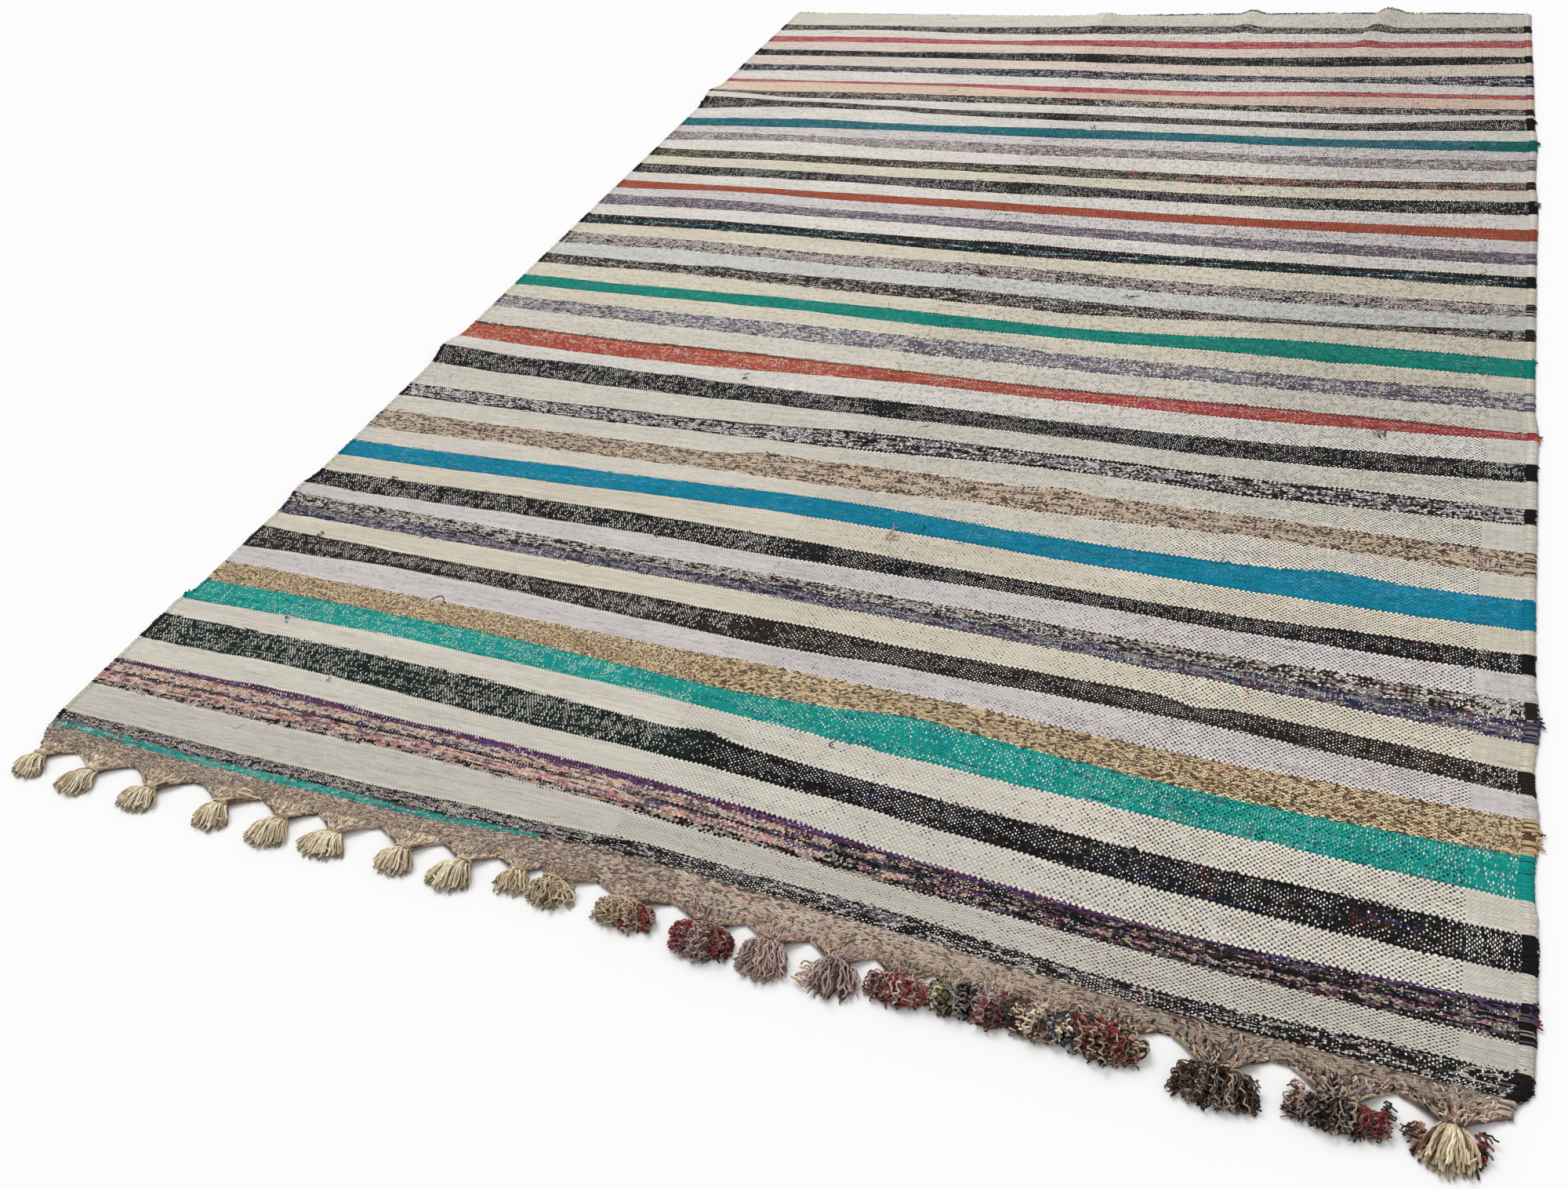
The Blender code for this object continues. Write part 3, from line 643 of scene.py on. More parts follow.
class Weave:
    """The weave at one place of the cloth, in numbers that the node tree works out.

    Each weft passes over every other warp as a small bead, and the warps show as dots between. The beads
    lie in a chequered lattice: a counts the warps and b the picks, and p and q count off the diamonds that
    are the beads' cells.
    """

    def __init__(self, g):
        self.g = g
        self.u, self.v, _ = g.parts(g.first("ShaderNodeUVMap", uv_map="weave"))
        self.up, self.down, _ = g.parts(g.first("ShaderNodeUVMap", uv_map="to_edges"))
        self.edge = g.ease(g.math("MINIMUM", self.up, self.down), 0.0050, 0.0020)

        # 1 where dark and light warps alternate, then how loose the weave is and how gritty its yarns are.
        self.mixed = (self.u > DARK_WARP_FROM) * (self.u < DARK_WARP_TO)
        self.loose = g.ease(self.u, *LOOSENS)
        self.near_right = self.loose * g.ease(self.v, *NEARER)
        self.gritty = g.ease(self.v, *GRITTIER)

        self.a, self.b = self.warps(), self.picks()
        self.p = (self.a + self.b) * 0.5 - 0.5
        self.q = (self.a - self.b) * 0.5
        self.bead_p = (self.p + 0.5).floor()
        self.bead_q = (self.q + 0.5).floor()
        self.warp = self.bead_p + self.bead_q
        self.pick = self.bead_p - self.bead_q
        self.bead_up = self.b - self.pick - 0.5
        self.luck = g.dice(self.bead_p, self.bead_q)
        self.row = g.select(self.mixed, self.b.floor() + 0.5, self.pick)
        self.index = self.band()
        self.dash, self.fleck, self.shows = dash_fleck_shows(g, self.index)
        self.grain = g.noise(self.u * 60.0, self.v * 500.0, detail=2.0)

    def warps(self):
        """How many warps lie to the left: fine ones, the mixed ones, then fine ones again. They wander."""
        g, u, v = self.g, self.u, self.v
        drift = (g.noise(u * 14.0, v * 30.0) - 0.5) * 0.005
        x = u + (drift + (g.noise(u * 70.0, v * 90.0) - 0.5) * 0.0030)
        fine = g.math("MINIMUM", x, DARK_WARP_FROM) / FINE_WARP_STEP
        mixed = g.math("MAXIMUM", g.math("MINIMUM", x, DARK_WARP_TO) - DARK_WARP_FROM, 0.0) / WARP_STEP
        last = g.math("MAXIMUM", x - DARK_WARP_TO, 0.0) / FINE_WARP_STEP
        return fine + mixed + last

    def picks(self):
        """How many picks lie nearer, which sway a little."""
        g, u, v = self.g, self.u, self.v
        sway = (g.noise(u * 17.0, v * 26.0, 5.0) - 0.5) * 0.0055
        sway = sway + (g.noise(u * 90.0, v * 60.0, 15.0) - 0.5) * 0.0022
        return (v + sway) / PICK_STEP + 8.0

    def band(self):
        """The band's number, read at the bead's middle, which gives the bands' edges their teeth."""
        g = self.g
        numbers = g.node("ShaderNodeAttribute", attribute_name="band_numbers").outputs["Vector"]
        below, here, above = g.parts(numbers)
        stray = (g.noise(self.u * 60.0, here * 5.0) - 0.5) * 0.0030
        index = g.select(self.up + self.bead_up * PICK_STEP < stray, here, above)
        return g.select(self.down - self.bead_up * PICK_STEP < stray, index, below)

    def weft(self):
        """The weft's colour, from its plain yarn on, and how pale and then how bright that is."""
        weft = self.yarn()
        _, self.pale, _ = self.g.parts(weft)
        weft = self.with_strands(self.with_grit(self.worn(self.varied(weft))))
        _, self.bright, _ = self.g.parts(weft)
        return self.tightened(weft)

    def yarn(self):
        """Which of the band's yarns this pick shows here."""
        g, u, v, mixed, index = self.g, self.u, self.v, self.mixed, self.index
        place = g.select(mixed, self.a, self.warp)
        dash = self.dash * (2.6 - (1.0 - mixed) * 0.6)
        run = (g.noise(place / dash, self.row * 7.3, index * 2.1) - 0.5) * (mixed * 0.14 + 0.60)
        run = run + (g.noise(u * 75.0, v * 460.0, index * 3.3) - 0.5) * 0.26
        run = run + (g.noise(self.warp * 1.7, v * 22.0, index) - 0.5) * (1.0 - mixed) * 0.22
        run = run * 3.3 + (g.noise(u * 3.0, self.row * 5.7, 31.0) - 0.5) * 0.9
        run = run + (self.luck[0] - 0.5) * mixed * 0.30
        return weft_colour(g, index, g.math("ADD", run, 0.5, clamp=True))

    def varied(self, weft):
        """Single stitches differ in hue."""
        g = self.g
        place = g.point(self.bead_p, self.bead_q, 9.0)
        speck = g.node("ShaderNodeTexWhiteNoise", {"Vector": place}).outputs["Color"]
        hue = g.blend(0.5, speck, g.tints(self.u * 26.0, self.v * 110.0))
        hue = g.blend(1.0, hue, (0.5, 0.5, 0.5), how="SUBTRACT")
        hue = g.shade(g.blend(1.0, hue, (0.70, 0.70, 0.70), how="ADD"), 1.43)
        fleck = self.fleck * (1.0 - g.ease(self.pale, 0.22, 0.42) * 0.6)
        tinged = g.shade(g.blend(1.0, weft, hue, how="MULTIPLY"), self.luck[2] * 0.9 + 0.55)
        return g.blend(fleck, weft, tinged)

    def worn(self, weft):
        """The weft differs in strength by fibre, by pick and by patch, and has dark hairs and specks."""
        g, u, v, loose = self.g, self.u, self.v, self.loose
        streak = g.noise(u * 6.0, self.row * 1.7, 7.0, detail=2.0)
        patch = g.noise(u * 9.0, v * 16.0, 17.0, detail=2.0)
        strength = g.ease(v, 1.2, 2.2) * 0.08 + 0.90 + self.near_right * 0.08
        strength = strength - loose * g.ease(v, 1.0, 1.6) * 0.10
        strength = strength - loose * g.ease(v, 0.085, 0.072) * CORNER_WEAR
        weft = g.shade(weft, (self.grain * 0.46 + streak * 0.56 + patch * 0.24 + 0.37) * strength)
        rib = g.noise(self.warp * 1.3, v * 7.0, 23.0)
        weft = g.shade(weft, 1.04 - (u > DARK_WARP_TO) * (rib * 0.36 - 0.03))
        hairline = g.ease(g.noise(u * 24.0, v * 420.0, 21.0, detail=2.0), 0.58, 0.70)
        speckle = g.ease(g.noise(u * 110.0, v * 260.0, 27.0, detail=1.0), 0.72, 0.78)
        return g.shade(weft, 1.0 - hairline * 0.30 - speckle * 0.40)

    def with_grit(self, weft):
        """Towards the far end there is dark grit in the wefts, and light grit in the dark ones."""
        g, u, v = self.g, self.u, self.v
        dark_grit = g.ease(g.noise(u * 120.0, v * 90.0, 45.0, detail=2.0), 0.50, 0.64) * self.gritty
        weft = g.shade(weft, 1.0 + self.gritty * 0.03 - dark_grit * (self.mixed * 0.14 + 0.20))
        light_grit = g.ease(g.noise(u * 110.0, v * 95.0, 49.0, detail=2.0), 0.54, 0.68) * self.gritty
        return g.blend(light_grit * (1.0 - g.ease(self.pale, 0.06, 0.34)) * 0.04, weft, CHALK)

    def with_strands(self, weft):
        """Lighter strands catch the light in patches, most of all in the coloured wefts."""
        g, u, v = self.g, self.u, self.v
        strand = g.ease(g.noise(u * 80.0, v * 380.0, 33.0, detail=2.0), 0.55, 0.68)
        strand = strand * g.ease(g.noise(u * 11.0, v * 24.0, 35.0, detail=2.0), 0.42, 0.62)
        lit = g.shade(g.blend(0.24, weft, CHALK), 1.55 - g.ease(self.pale, 0.22, 0.42) * 0.40)
        return g.blend(strand * 0.55, weft, lit)

    def tightened(self, weft):
        """The picks next to another band are the tightest: dark ones darker there, light ones lighter."""
        change = self.g.ease(self.bright, 0.15, 0.40) * 0.42 - 0.30
        return self.g.shade(weft, self.edge * change + 1.0)

    def warp_colours(self, luck):
        """The warp's dark thread and its light thread; in the fine warp only the light one shows."""
        g, u, v = self.g, self.u, self.v
        patch = g.noise(u * 42.0, v * 20.0, 3.0)
        dark = g.blend(g.ease(patch, 0.60, 0.66), BLACK, RED_WARP)
        dark = g.blend(g.ease(patch, 0.40, 0.35), dark, GREEN_WARP)
        light = g.blend((luck[0] > 0.94) * 0.5, CHALK, STRAW)
        light = g.blend(luck[1] > 0.96, light, BLUE_WARP)
        light = g.shade(light, luck[2] * 0.45 + 0.80)
        for x in WARP_STREAKS:
            near = ((u - x).abs() < STREAK_HALF) * g.ease(g.noise(v * 9.0, x * 30.0), 0.50, 0.60)
            dark = g.blend(near * 0.7, dark, BRICK)
            light = g.blend(near * 0.5, light, SALMON)
        return dark, light

    def with_dots(self, weft):
        """The warp's threads, where they lie on top of a pick: many of them are beaten under."""
        g, mixed = self.g, self.mixed
        dot_p = self.p.floor()
        dot_q = self.q.floor()
        across = self.a - dot_p - dot_q - 1.5
        depth = self.b - dot_p + dot_q - 0.5
        chance = g.dice(dot_p + 91.0, dot_q)
        dark, light = self.warp_colours(chance)
        size = chance[2] * 0.42 + 0.72
        showing = g.ease((self.u - CLOSED_AT).abs(), 0.010, 0.055) * (1.0 - (self.u > TURNED_FROM))
        seen = g.ease(self.shows, 0.12, 0.35)

        half_width = size * (0.38 - mixed * 0.09)
        dot = ellipse(across - mixed * 0.14, depth, half_width, size * (0.60 - mixed * 0.14))
        opened = self.light_opened(dot_p, dot_q, chance, showing)
        shown = g.ease(dot, 1.15, 0.55) * g.ease(opened, 1.74 - mixed * 0.12, 1.84 - mixed * 0.10)
        shown = shown * (1.0 - g.ease(self.bright, 0.22, 0.42) * 0.85) * (seen * 0.60 + 0.40)
        light = g.blend(0.80 - seen * 0.80, light, g.shade(g.blend(0.14, weft, light), 1.6))
        self.light_shown = shown

        half_width = size * (self.near_right * 0.03 + 0.35)
        dot = ellipse(across + 0.12, depth, half_width, size * (self.near_right * 0.05 + 0.48))
        opened = g.noise(self.u * 34.0, self.v * 40.0, 12.0, detail=2.0) * 0.8
        opened = opened + chance[0] * 0.5 + self.loose * 0.13 + self.near_right * 0.24
        shown = g.ease(dot, 1.15, 0.45) * g.ease(opened, 0.72, 0.92) * showing * mixed
        weft = g.blend(shown * (seen * 0.70 + 0.25), weft, dark)
        return g.blend(self.light_shown, weft, light)

    def light_opened(self, dot_p, dot_q, chance, showing):
        """How far the wefts leave the light warp open at a dot."""
        g, u, v, mixed = self.g, self.u, self.v, self.mixed
        line = g.noise(u * 7.0, (dot_p - dot_q) * 1.3, 4.0)
        column = g.ease(g.noise((dot_p + dot_q) * 1.7, v * 16.0, 6.0), 0.38, 0.62) * (1.0 - mixed)
        opened = g.noise(u * 30.0, v * 50.0, 2.0, detail=2.0) * 0.7 + line * 0.8 + column * 0.30
        opened = opened + chance[1] * 0.5 + showing * 0.3 + self.shows * 0.4
        opened = opened + mixed * (0.16 - self.loose * 0.06) - self.edge * 0.20 + 0.06
        cloud = g.noise(u * 8.0, v * 34.0, 41.0, detail=2.0)
        opened = opened + (cloud - 0.52) * (mixed * 0.30 + 0.60)
        return opened + (g.noise(u * 90.0, v * 110.0, 51.0) - 0.54) * self.gritty * 0.8

    def relief(self, colour):
        """Round beads with painted shade in the creases between them and a painted highlight on their tops:
        the colour, and the height for the bump.
        """
        g, mixed = self.g, self.mixed
        bead = g.math("COSINE", (self.a - self.warp - 0.5) * pi) + g.math("COSINE", self.bead_up * pi)
        bead = bead * 0.5
        crease_shading = g.ease(bead, 0.0, 0.55)
        shading_depth = mixed * (self.loose * 0.12 + 0.16) + 0.24
        level = 1.030 - mixed * (self.loose * 0.03 + 0.010)
        # Painted shade and highlight: the colour is darker in the creases between beads and lighter on their
        # tops, and the light warp dots get the tops' painted highlight.
        colour = g.shade(colour, (g.math("MAXIMUM", crease_shading, self.light_shown) - 0.6) * shading_depth + level)
        return colour, bead * (mixed * 0.6 + 0.4) + self.grain * 0.4 + self.light_shown * 0.5


def weave_finish():
    """The cloth: wefts in their bands, the warps' dots between them, and the relief of the beads, in the
    bump and as painted shade and highlight.
    """
    material, g, shader = new_finish("woven_yarn")
    weave = Weave(g)
    colour, height = weave.relief(weave.with_dots(weave.weft()))
    bump = g.first("ShaderNodeBump", {"Height": height, "Strength": 0.7, "Distance": 0.0010})
    g.feed(shader.inputs["Normal"], bump)
    g.feed(shader.inputs["Base Color"], colour)
    return material


# ------------------------------------------------ the cloth
def cloth_relief(x, y, crown):
    """How far the cloth's top lies over its plain thickness: slow waves, puckers and the bands' crowns."""
    slow = noise.noise(Vector((x * 4.2, y * 6.0, 1.0)))
    small = noise.noise(Vector((x * 22.0, y * 30.0, 8.0)))
    return 0.0007 * slow + 0.0003 * small + 0.0004 * crown


def band_rows():
    """The mesh's rows: (band's number, share of its depth) of every line of vertices."""
    rows = [(0, 0.0)]
    edges = edges_at(STATIONS[3])
    spare = edges_at(STATIONS[0])
    for number in range(len(LAID)):
        depth = max(edges[number + 1] - edges[number], spare[number + 1] - spare[number])
        cuts = max(1, round(depth / ROW_STEP))
        rows += [(number, (cut + 1) / cuts) for cut in range(cuts)]
    return rows


def band_here(number, x):
    """The number whose yarns a band is woven of at x: some bands change yarn on their way across."""
    name = LAID[number][0]
    if name == "teal_line" and x > TEAL_LINE_ENDS:
        return number + 1
    if name in YARN_CHANGES:
        _, starts, ends = YARN_CHANGES[name]
        if noise.noise(Vector((x * 31.0, number * 5.3, 2.0))) * 0.5 + 0.5 < (x - starts) / (ends - starts):
            return len(LAID) + list(YARN_CHANGES).index(name)
    return number


def lattice_edges():
    """The bands' edges in the weave's own measure: a band has as many picks as at its deepest place."""
    places = [0.0]
    before = tuple(near_edge(x) for x in STATIONS)
    for name, values in LAID:
        depth = max(b - a for a, b in zip(before, values))
        places.append(places[-1] + depth * FINE_SPUN.get(name, 1.0))
        before = values
    return places


def face_numbers(number, x):
    """The numbers that the band before, the band itself and the next one are woven of at x."""
    last = len(LAID) - 1
    below = max(number - 1, 0)
    if LAID[below][0] == "teal_line" and x > TEAL_LINE_ENDS:
        below = below - 1 if LAID[number][0] == "magpie" else below
    return band_here(below, x), band_here(number, x), band_here(min(number + 1, last), x)


def sheet_places(rows, edge_lists):
    """The sheet's vertices: their places in the frame, and for each its x, its weave's y and its own y."""
    places = []
    facts = []
    lattice = lattice_edges()
    for i, edges in enumerate(edge_lists):
        x = RUG_WIDTH * i / COLUMNS
        for number, share in rows:
            y = edges[number] + (edges[number + 1] - edges[number]) * share
            crown = 4.0 * share * (1.0 - share)
            high = height_at(x, plain_y(x, y)) + CLOTH_THICKNESS + cloth_relief(x, y, crown)
            places.append(Vector((on_selvedges(x, y), y, high)) + SHIFT)
            facts.append((x, lattice[number] + (lattice[number + 1] - lattice[number]) * share, y))
    return places, facts


def weave_sheet():
    """The sheet's mesh, with what the weave has to know on its faces and corners."""
    rows = band_rows()
    across = len(rows)
    edge_lists = [edges_at(RUG_WIDTH * i / COLUMNS) for i in range(COLUMNS + 1)]
    places, facts = sheet_places(rows, edge_lists)
    bm = bmesh.new()
    weave = bm.loops.layers.uv.new("weave")
    to_edges = bm.loops.layers.uv.new("to_edges")
    numbers = bm.faces.layers.float_vector.new("band_numbers")
    grid = [bm.verts.new(place) for place in places]
    for i in range(COLUMNS):
        for j in range(across - 1):
            here = i * across + j
            corners = (here, here + across, here + across + 1, here + 1)
            face = bm.faces.new([grid[corner] for corner in corners])
            face.smooth = True
            number = rows[j + 1][0]
            face[numbers] = face_numbers(number, RUG_WIDTH * (i + 0.5) / COLUMNS)
            for loop, corner in zip(face.loops, corners):
                x, lattice_y, y = facts[corner]
                edges = edge_lists[corner // across]
                loop[weave].uv = (x, lattice_y)
                loop[to_edges].uv = (edges[number + 1] - y, y - edges[number])
    mesh = bpy.data.meshes.new("woven_cloth")
    bm.to_mesh(mesh)
    bm.free()
    return mesh


def make_cloth():
    """One sheet on the solid's own outline and folds, its rows laid along the bands."""
    mesh = weave_sheet()
    cloth = add_mesh("woven_cloth", mesh)
    mesh.materials.append(weave_finish())
    solidify = cloth.modifiers.new("thickness", "SOLIDIFY")
    solidify.thickness = SHEET_THICKNESS
    solidify.offset = -1.0
    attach(cloth, "root")
    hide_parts("rug_cloth")
    return cloth


# ------------------------------------------------ yarns that are laid one by one
YARN_STEP = 0.0034          # between a yarn's rings
YARN_SIDES = 5
TWIST_PITCH = 0.008
FLOOR_GAP = 0.0006          # the least between a yarn and the floor
PALEST = 0.92               # no yarn's tint is over this


def yarn_finish(name, mottled=1.0):
    """Two-ply yarn: its own tint, with painted shade in the twist's grooves, and mottled where it is of odd
    fibres.
    """
    material, g, shader = new_finish(name)
    tint = g.node("ShaderNodeAttribute", attribute_name="tint").outputs["Color"]
    run = Number(g, g.node("ShaderNodeAttribute", attribute_name="yarn_run").outputs["Fac"])
    around = g.node("ShaderNodeAttribute", attribute_name="yarn_round").outputs["Vector"]
    round_x, round_y, _ = g.parts(around)
    turn = run * (pi / TWIST_PITCH)
    groove = round_x * g.math("COSINE", turn) + round_y * g.math("SINE", turn)
    ply = groove * groove
    x, y, z = g.parts(g.node("ShaderNodeTexCoord").outputs["Object"])
    fibre = g.noise(x * 700.0, y * 700.0, z * 700.0, detail=1.0)
    flake = g.noise(run * 130.0, x * 40.0, y * 40.0, detail=1.0)
    colour = g.blend(g.ease(flake, 0.56, 0.66) * 0.30 * mottled, tint, PINKISH)
    colour = g.blend(g.ease(flake, 0.44, 0.36) * 0.35 * mottled, colour, FAWN_BROWN)
    # Painted shade: the colour is darkened in the twist's grooves, with the fibre's own mottle on top.
    colour = g.shade(colour, ply * 0.46 + fibre * 0.56 + 0.50)
    height = {"Height": ply + fibre * 0.5, "Strength": 0.6, "Distance": 0.0004}
    g.feed(shader.inputs["Normal"], g.first("ShaderNodeBump", height))
    g.feed(shader.inputs["Base Color"], colour)
    return material


def stored(g, geometry, name, value, kind):
    """A geometry whose points carry a value under this name."""
    inputs = {"Geometry": geometry, "Name": name, "Value": value}
    return g.first("GeometryNodeStoreNamedAttribute", inputs, data_type=kind, domain="POINT")


def yarn_tree():
    """Geometry nodes: every guide line becomes a smooth round yarn as thick as the guide says."""
    tree = bpy.data.node_groups.new("yarns_on_guides", "GeometryNodeTree")
    for name, kind in (("Guides", "Geometry"), ("Step", "Float"), ("Sides", "Int"), ("Yarn", "Material")):
        tree.interface.new_socket(name, in_out="INPUT", socket_type="NodeSocket" + kind)
    tree.interface.new_socket("Yarns", in_out="OUTPUT", socket_type="NodeSocketGeometry")
    g = Graph(tree)
    given = g.node("NodeGroupInput").outputs
    lines = g.first("GeometryNodeMeshToCurve", {"Mesh": given["Guides"]})
    soft = g.first("GeometryNodeCurveSplineType", {"Curve": lines}, spline_type="CATMULL_ROM")
    even = {"Curve": soft, "Length": given["Step"]}
    even = g.first("GeometryNodeResampleCurve", even, mode="LENGTH")
    length = g.node("GeometryNodeSplineParameter").outputs["Length"]
    even = stored(g, even, "yarn_run", length, "FLOAT")
    ring = {"Resolution": given["Sides"], "Radius": 1.0}
    ring = g.first("GeometryNodeCurvePrimitiveCircle", ring)
    ring = stored(g, ring, "yarn_round", g.first("GeometryNodeInputPosition"), "FLOAT_VECTOR")
    thick = g.first("GeometryNodeInputNamedAttribute", {"Name": "thick"}, data_type="FLOAT")
    tube = {"Curve": even, "Profile Curve": ring, "Scale": thick, "Fill Caps": True}
    tube = g.first("GeometryNodeCurveToMesh", tube)
    smooth = g.first("GeometryNodeSetShadeSmooth", {"Geometry": tube, "Shade Smooth": True})
    whole = g.first("GeometryNodeRealizeInstances", {"Geometry": smooth})
    finished = g.first("GeometryNodeSetMaterial", {"Geometry": whole, "Material": given["Yarn"]})
    g.feed(g.node("NodeGroupOutput").inputs[0], finished)
    return tree


YARN_TREE = yarn_tree()


def toned(tint, strength, most=1.0):
    """A tint made darker or lighter, with no part of it over the most."""
    return [min(part * strength, most) for part in tint]


class Guides:
    """Guide lines for yarns, each with its tint and its thickness along the way."""

    def __init__(self):
        self.points = []
        self.edges = []
        self.tints = []
        self.thick = []

    def lay(self, points, tint, radius, end_radius=None):
        """Add one yarn through these points, in the weaver's measures; none of it dips into the floor."""
        end_radius = radius if end_radius is None else end_radius
        first = len(self.points)
        for i, point in enumerate(points):
            here = radius + (end_radius - radius) * i / (len(points) - 1)
            self.points.append(Vector((point[0], point[1], max(point[2], here + FLOOR_GAP))) + SHIFT)
            self.tints.append((*tint, 1.0))
            self.thick.append(here)
            if i:
                self.edges.append((first + i - 1, first + i))

    def spin(self, name, finish, step=YARN_STEP, sides=YARN_SIDES):
        """Run the guides through the yarn tree, and keep the result as a plain mesh."""
        mesh = bpy.data.meshes.new(name + "_guides")
        mesh.from_pydata(self.points, self.edges, [])
        tints = mesh.attributes.new("tint", "FLOAT_COLOR", "POINT")
        tints.data.foreach_set("color", [part for tint in self.tints for part in tint])
        thick = mesh.attributes.new("thick", "FLOAT", "POINT")
        thick.data.foreach_set("value", self.thick)
        source = add_mesh(name + "_guides", mesh)
        modifier = source.modifiers.new("yarns", "NODES")
        modifier.node_group = YARN_TREE
        given = {"Step": step, "Sides": sides, "Yarn": finish}
        for socket in YARN_TREE.interface.items_tree:
            if socket.in_out == "INPUT" and socket.name in given:
                modifier[socket.identifier] = given[socket.name]
        seen = source.evaluated_get(bpy.context.evaluated_depsgraph_get())
        spun = bpy.data.meshes.new_from_object(seen)
        spun.name = name
        bpy.data.objects.remove(source)
        bpy.data.meshes.remove(mesh)
        piece = add_mesh(name, spun)
        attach(piece, "root")
        return piece


# ------------------------------------------------ tassels
# Tassels, left to right: the neck's x and depth and the skirt's sides, reach and height, as in the part's
# source; then how far its yarns are curled, its apron's tints, its skirt's tints from left to right and its
# slot.
Tassel = namedtuple("Tassel", "x neck left right reach loft curled apron tints slot")
FLAX = (0.82, 0.68, 0.48)
SAND = (0.72, 0.58, 0.39)
CREAM = (0.88, 0.76, 0.58)
STONE = (0.52, 0.42, 0.28)
DUN = (0.36, 0.27, 0.18)
MOSS = (0.24, 0.22, 0.12)
FAWN = (0.56, 0.42, 0.29)
ROSE = (0.58, 0.41, 0.38)
ASHES = (0.36, 0.31, 0.29)
SLATE_BLUE = (0.045, 0.052, 0.068)
SOOT = (0.020, 0.018, 0.017)
UMBER = (0.11, 0.065, 0.045)
BLOOD = (0.26, 0.038, 0.040)
EMBER = (0.42, 0.18, 0.11)
PALE = (SAND, FLAX, FLAX, CREAM, FLAX, STONE)
OLIVES = (STONE, DUN, SAND, FLAX, MOSS, SAND)
MIXED = (ASHES, ROSE, FAWN, UMBER, STONE, FAWN)
PINKS = (ROSE, ASHES, FAWN, ASHES, UMBER, STONE)
EARTHS = (FAWN_BROWN, TAUPE, SOOT, RUSSET, FAWN, SLATE_BLUE, TAUPE)
TASSELS = (
    Tassel(0.024, 0.018, -0.002, 0.053, 0.066, 0.013, 0.0, PALE, PALE, "cream_yarn"),
    Tassel(0.122, 0.021, 0.082, 0.143, 0.073, 0.013, 0.0, PALE, PALE, "cream_yarn"),
    Tassel(0.228, 0.025, 0.191, 0.254, 0.071, 0.014, 0.0, PALE, PALE, "cream_yarn"),
    Tassel(0.341, 0.021, 0.315, 0.371, 0.071, 0.014, 0.0, PALE, PALE, "cream_yarn"),
    Tassel(0.438, 0.020, 0.402, 0.466, 0.075, 0.015, 0.0, PALE, PALE, "cream_yarn"),
    Tassel(0.520, 0.021, 0.480, 0.552, 0.068, 0.013, 0.0, PALE, PALE, "cream_yarn"),
    Tassel(0.622, 0.021, 0.594, 0.651, 0.065, 0.015, 0.0, PALE, PALE, "cream_yarn"),
    Tassel(0.707, 0.018, 0.669, 0.731, 0.068, 0.015, 0.0, PALE, PALE, "cream_yarn"),
    Tassel(0.779, 0.012, 0.757, 0.800, 0.051, 0.014, 0.2, PALE, PALE, "cream_yarn"),
    Tassel(0.827, 0.012, 0.804, 0.862, 0.055, 0.016, 0.6, OLIVES, OLIVES, "olive_yarn"),
    Tassel(0.928, 0.014, 0.894, 0.967, 0.056, 0.019, 1.0, OLIVES,
           (SAND, FAWN, ROSE, FAWN, STONE, ROSE, FAWN, BLOOD), "mauve_yarn"),
    Tassel(1.029, 0.017, 0.993, 1.065, 0.069, 0.021, 1.0, PINKS,
           (BLOOD, ROSE, ASHES, ROSE, ASHES, UMBER, ROSE, BLOOD), "brick_yarn"),
    Tassel(1.107, 0.016, 1.074, 1.135, 0.074, 0.021, 0.5, PINKS,
           (ROSE, ASHES, ROSE, FAWN, ROSE, ASHES, ROSE), "mauve_yarn"),
    Tassel(1.182, 0.018, 1.158, 1.216, 0.073, 0.021, 0.4, PINKS,
           (ROSE, ASHES, ROSE, UMBER, ROSE, ROSE), "mauve_yarn"),
    Tassel(1.258, 0.018, 1.220, 1.289, 0.060, 0.022, 0.9, PINKS,
           (ROSE, BLOOD, UMBER, BLOOD, ROSE, BLOOD, ROSE), "brick_yarn"),
    Tassel(1.313, 0.016, 1.292, 1.332, 0.055, 0.021, 1.0, MIXED,
           (MOSS, FLAX, SOOT, ASHES, SOOT), "slate_yarn"),
    Tassel(1.355, 0.016, 1.335, 1.375, 0.057, 0.021, 1.0, PINKS,
           (ASHES, ROSE, BLOOD, SLATE_BLUE, UMBER), "slate_yarn"),
    Tassel(1.404, 0.016, 1.378, 1.437, 0.058, 0.021, 1.0, MIXED,
           (UMBER, FLAX, ASHES, ROSE, FLAX, SLATE_BLUE), "olive_yarn"),
    Tassel(1.470, 0.018, 1.441, 1.504, 0.062, 0.023, 1.0, EARTHS,
           (SLATE_BLUE, STONE, EMBER, BLOOD, SOOT, BLOOD, STONE), "brick_yarn"),
    Tassel(1.577, 0.026, 1.538, 1.620, 0.081, 0.024, 0.8, EARTHS,
           (UMBER, FAWN, SOOT, ASHES, STONE, SOOT, TAUPE, UMBER), "olive_yarn"),
    Tassel(1.688, 0.026, 1.641, 1.733, 0.070, 0.023, 0.8, EARTHS,
           (ROSE, UMBER, SOOT, ASHES, SLATE_BLUE, SOOT, FAWN, UMBER, CINDER, TAUPE, BLOOD), "slate_yarn"),
    Tassel(1.786, 0.021, 1.752, 1.814, 0.083, 0.016, 0.0, EARTHS,
           (UMBER, STONE, SAND, STONE, SAND, FLAX, STONE, SAND, STONE, UMBER), "cream_yarn"))
EDGE_TINTS = (FAWN_GREY, TAUPE, FAWN_BROWN, PINKISH, STONE, CINDER)
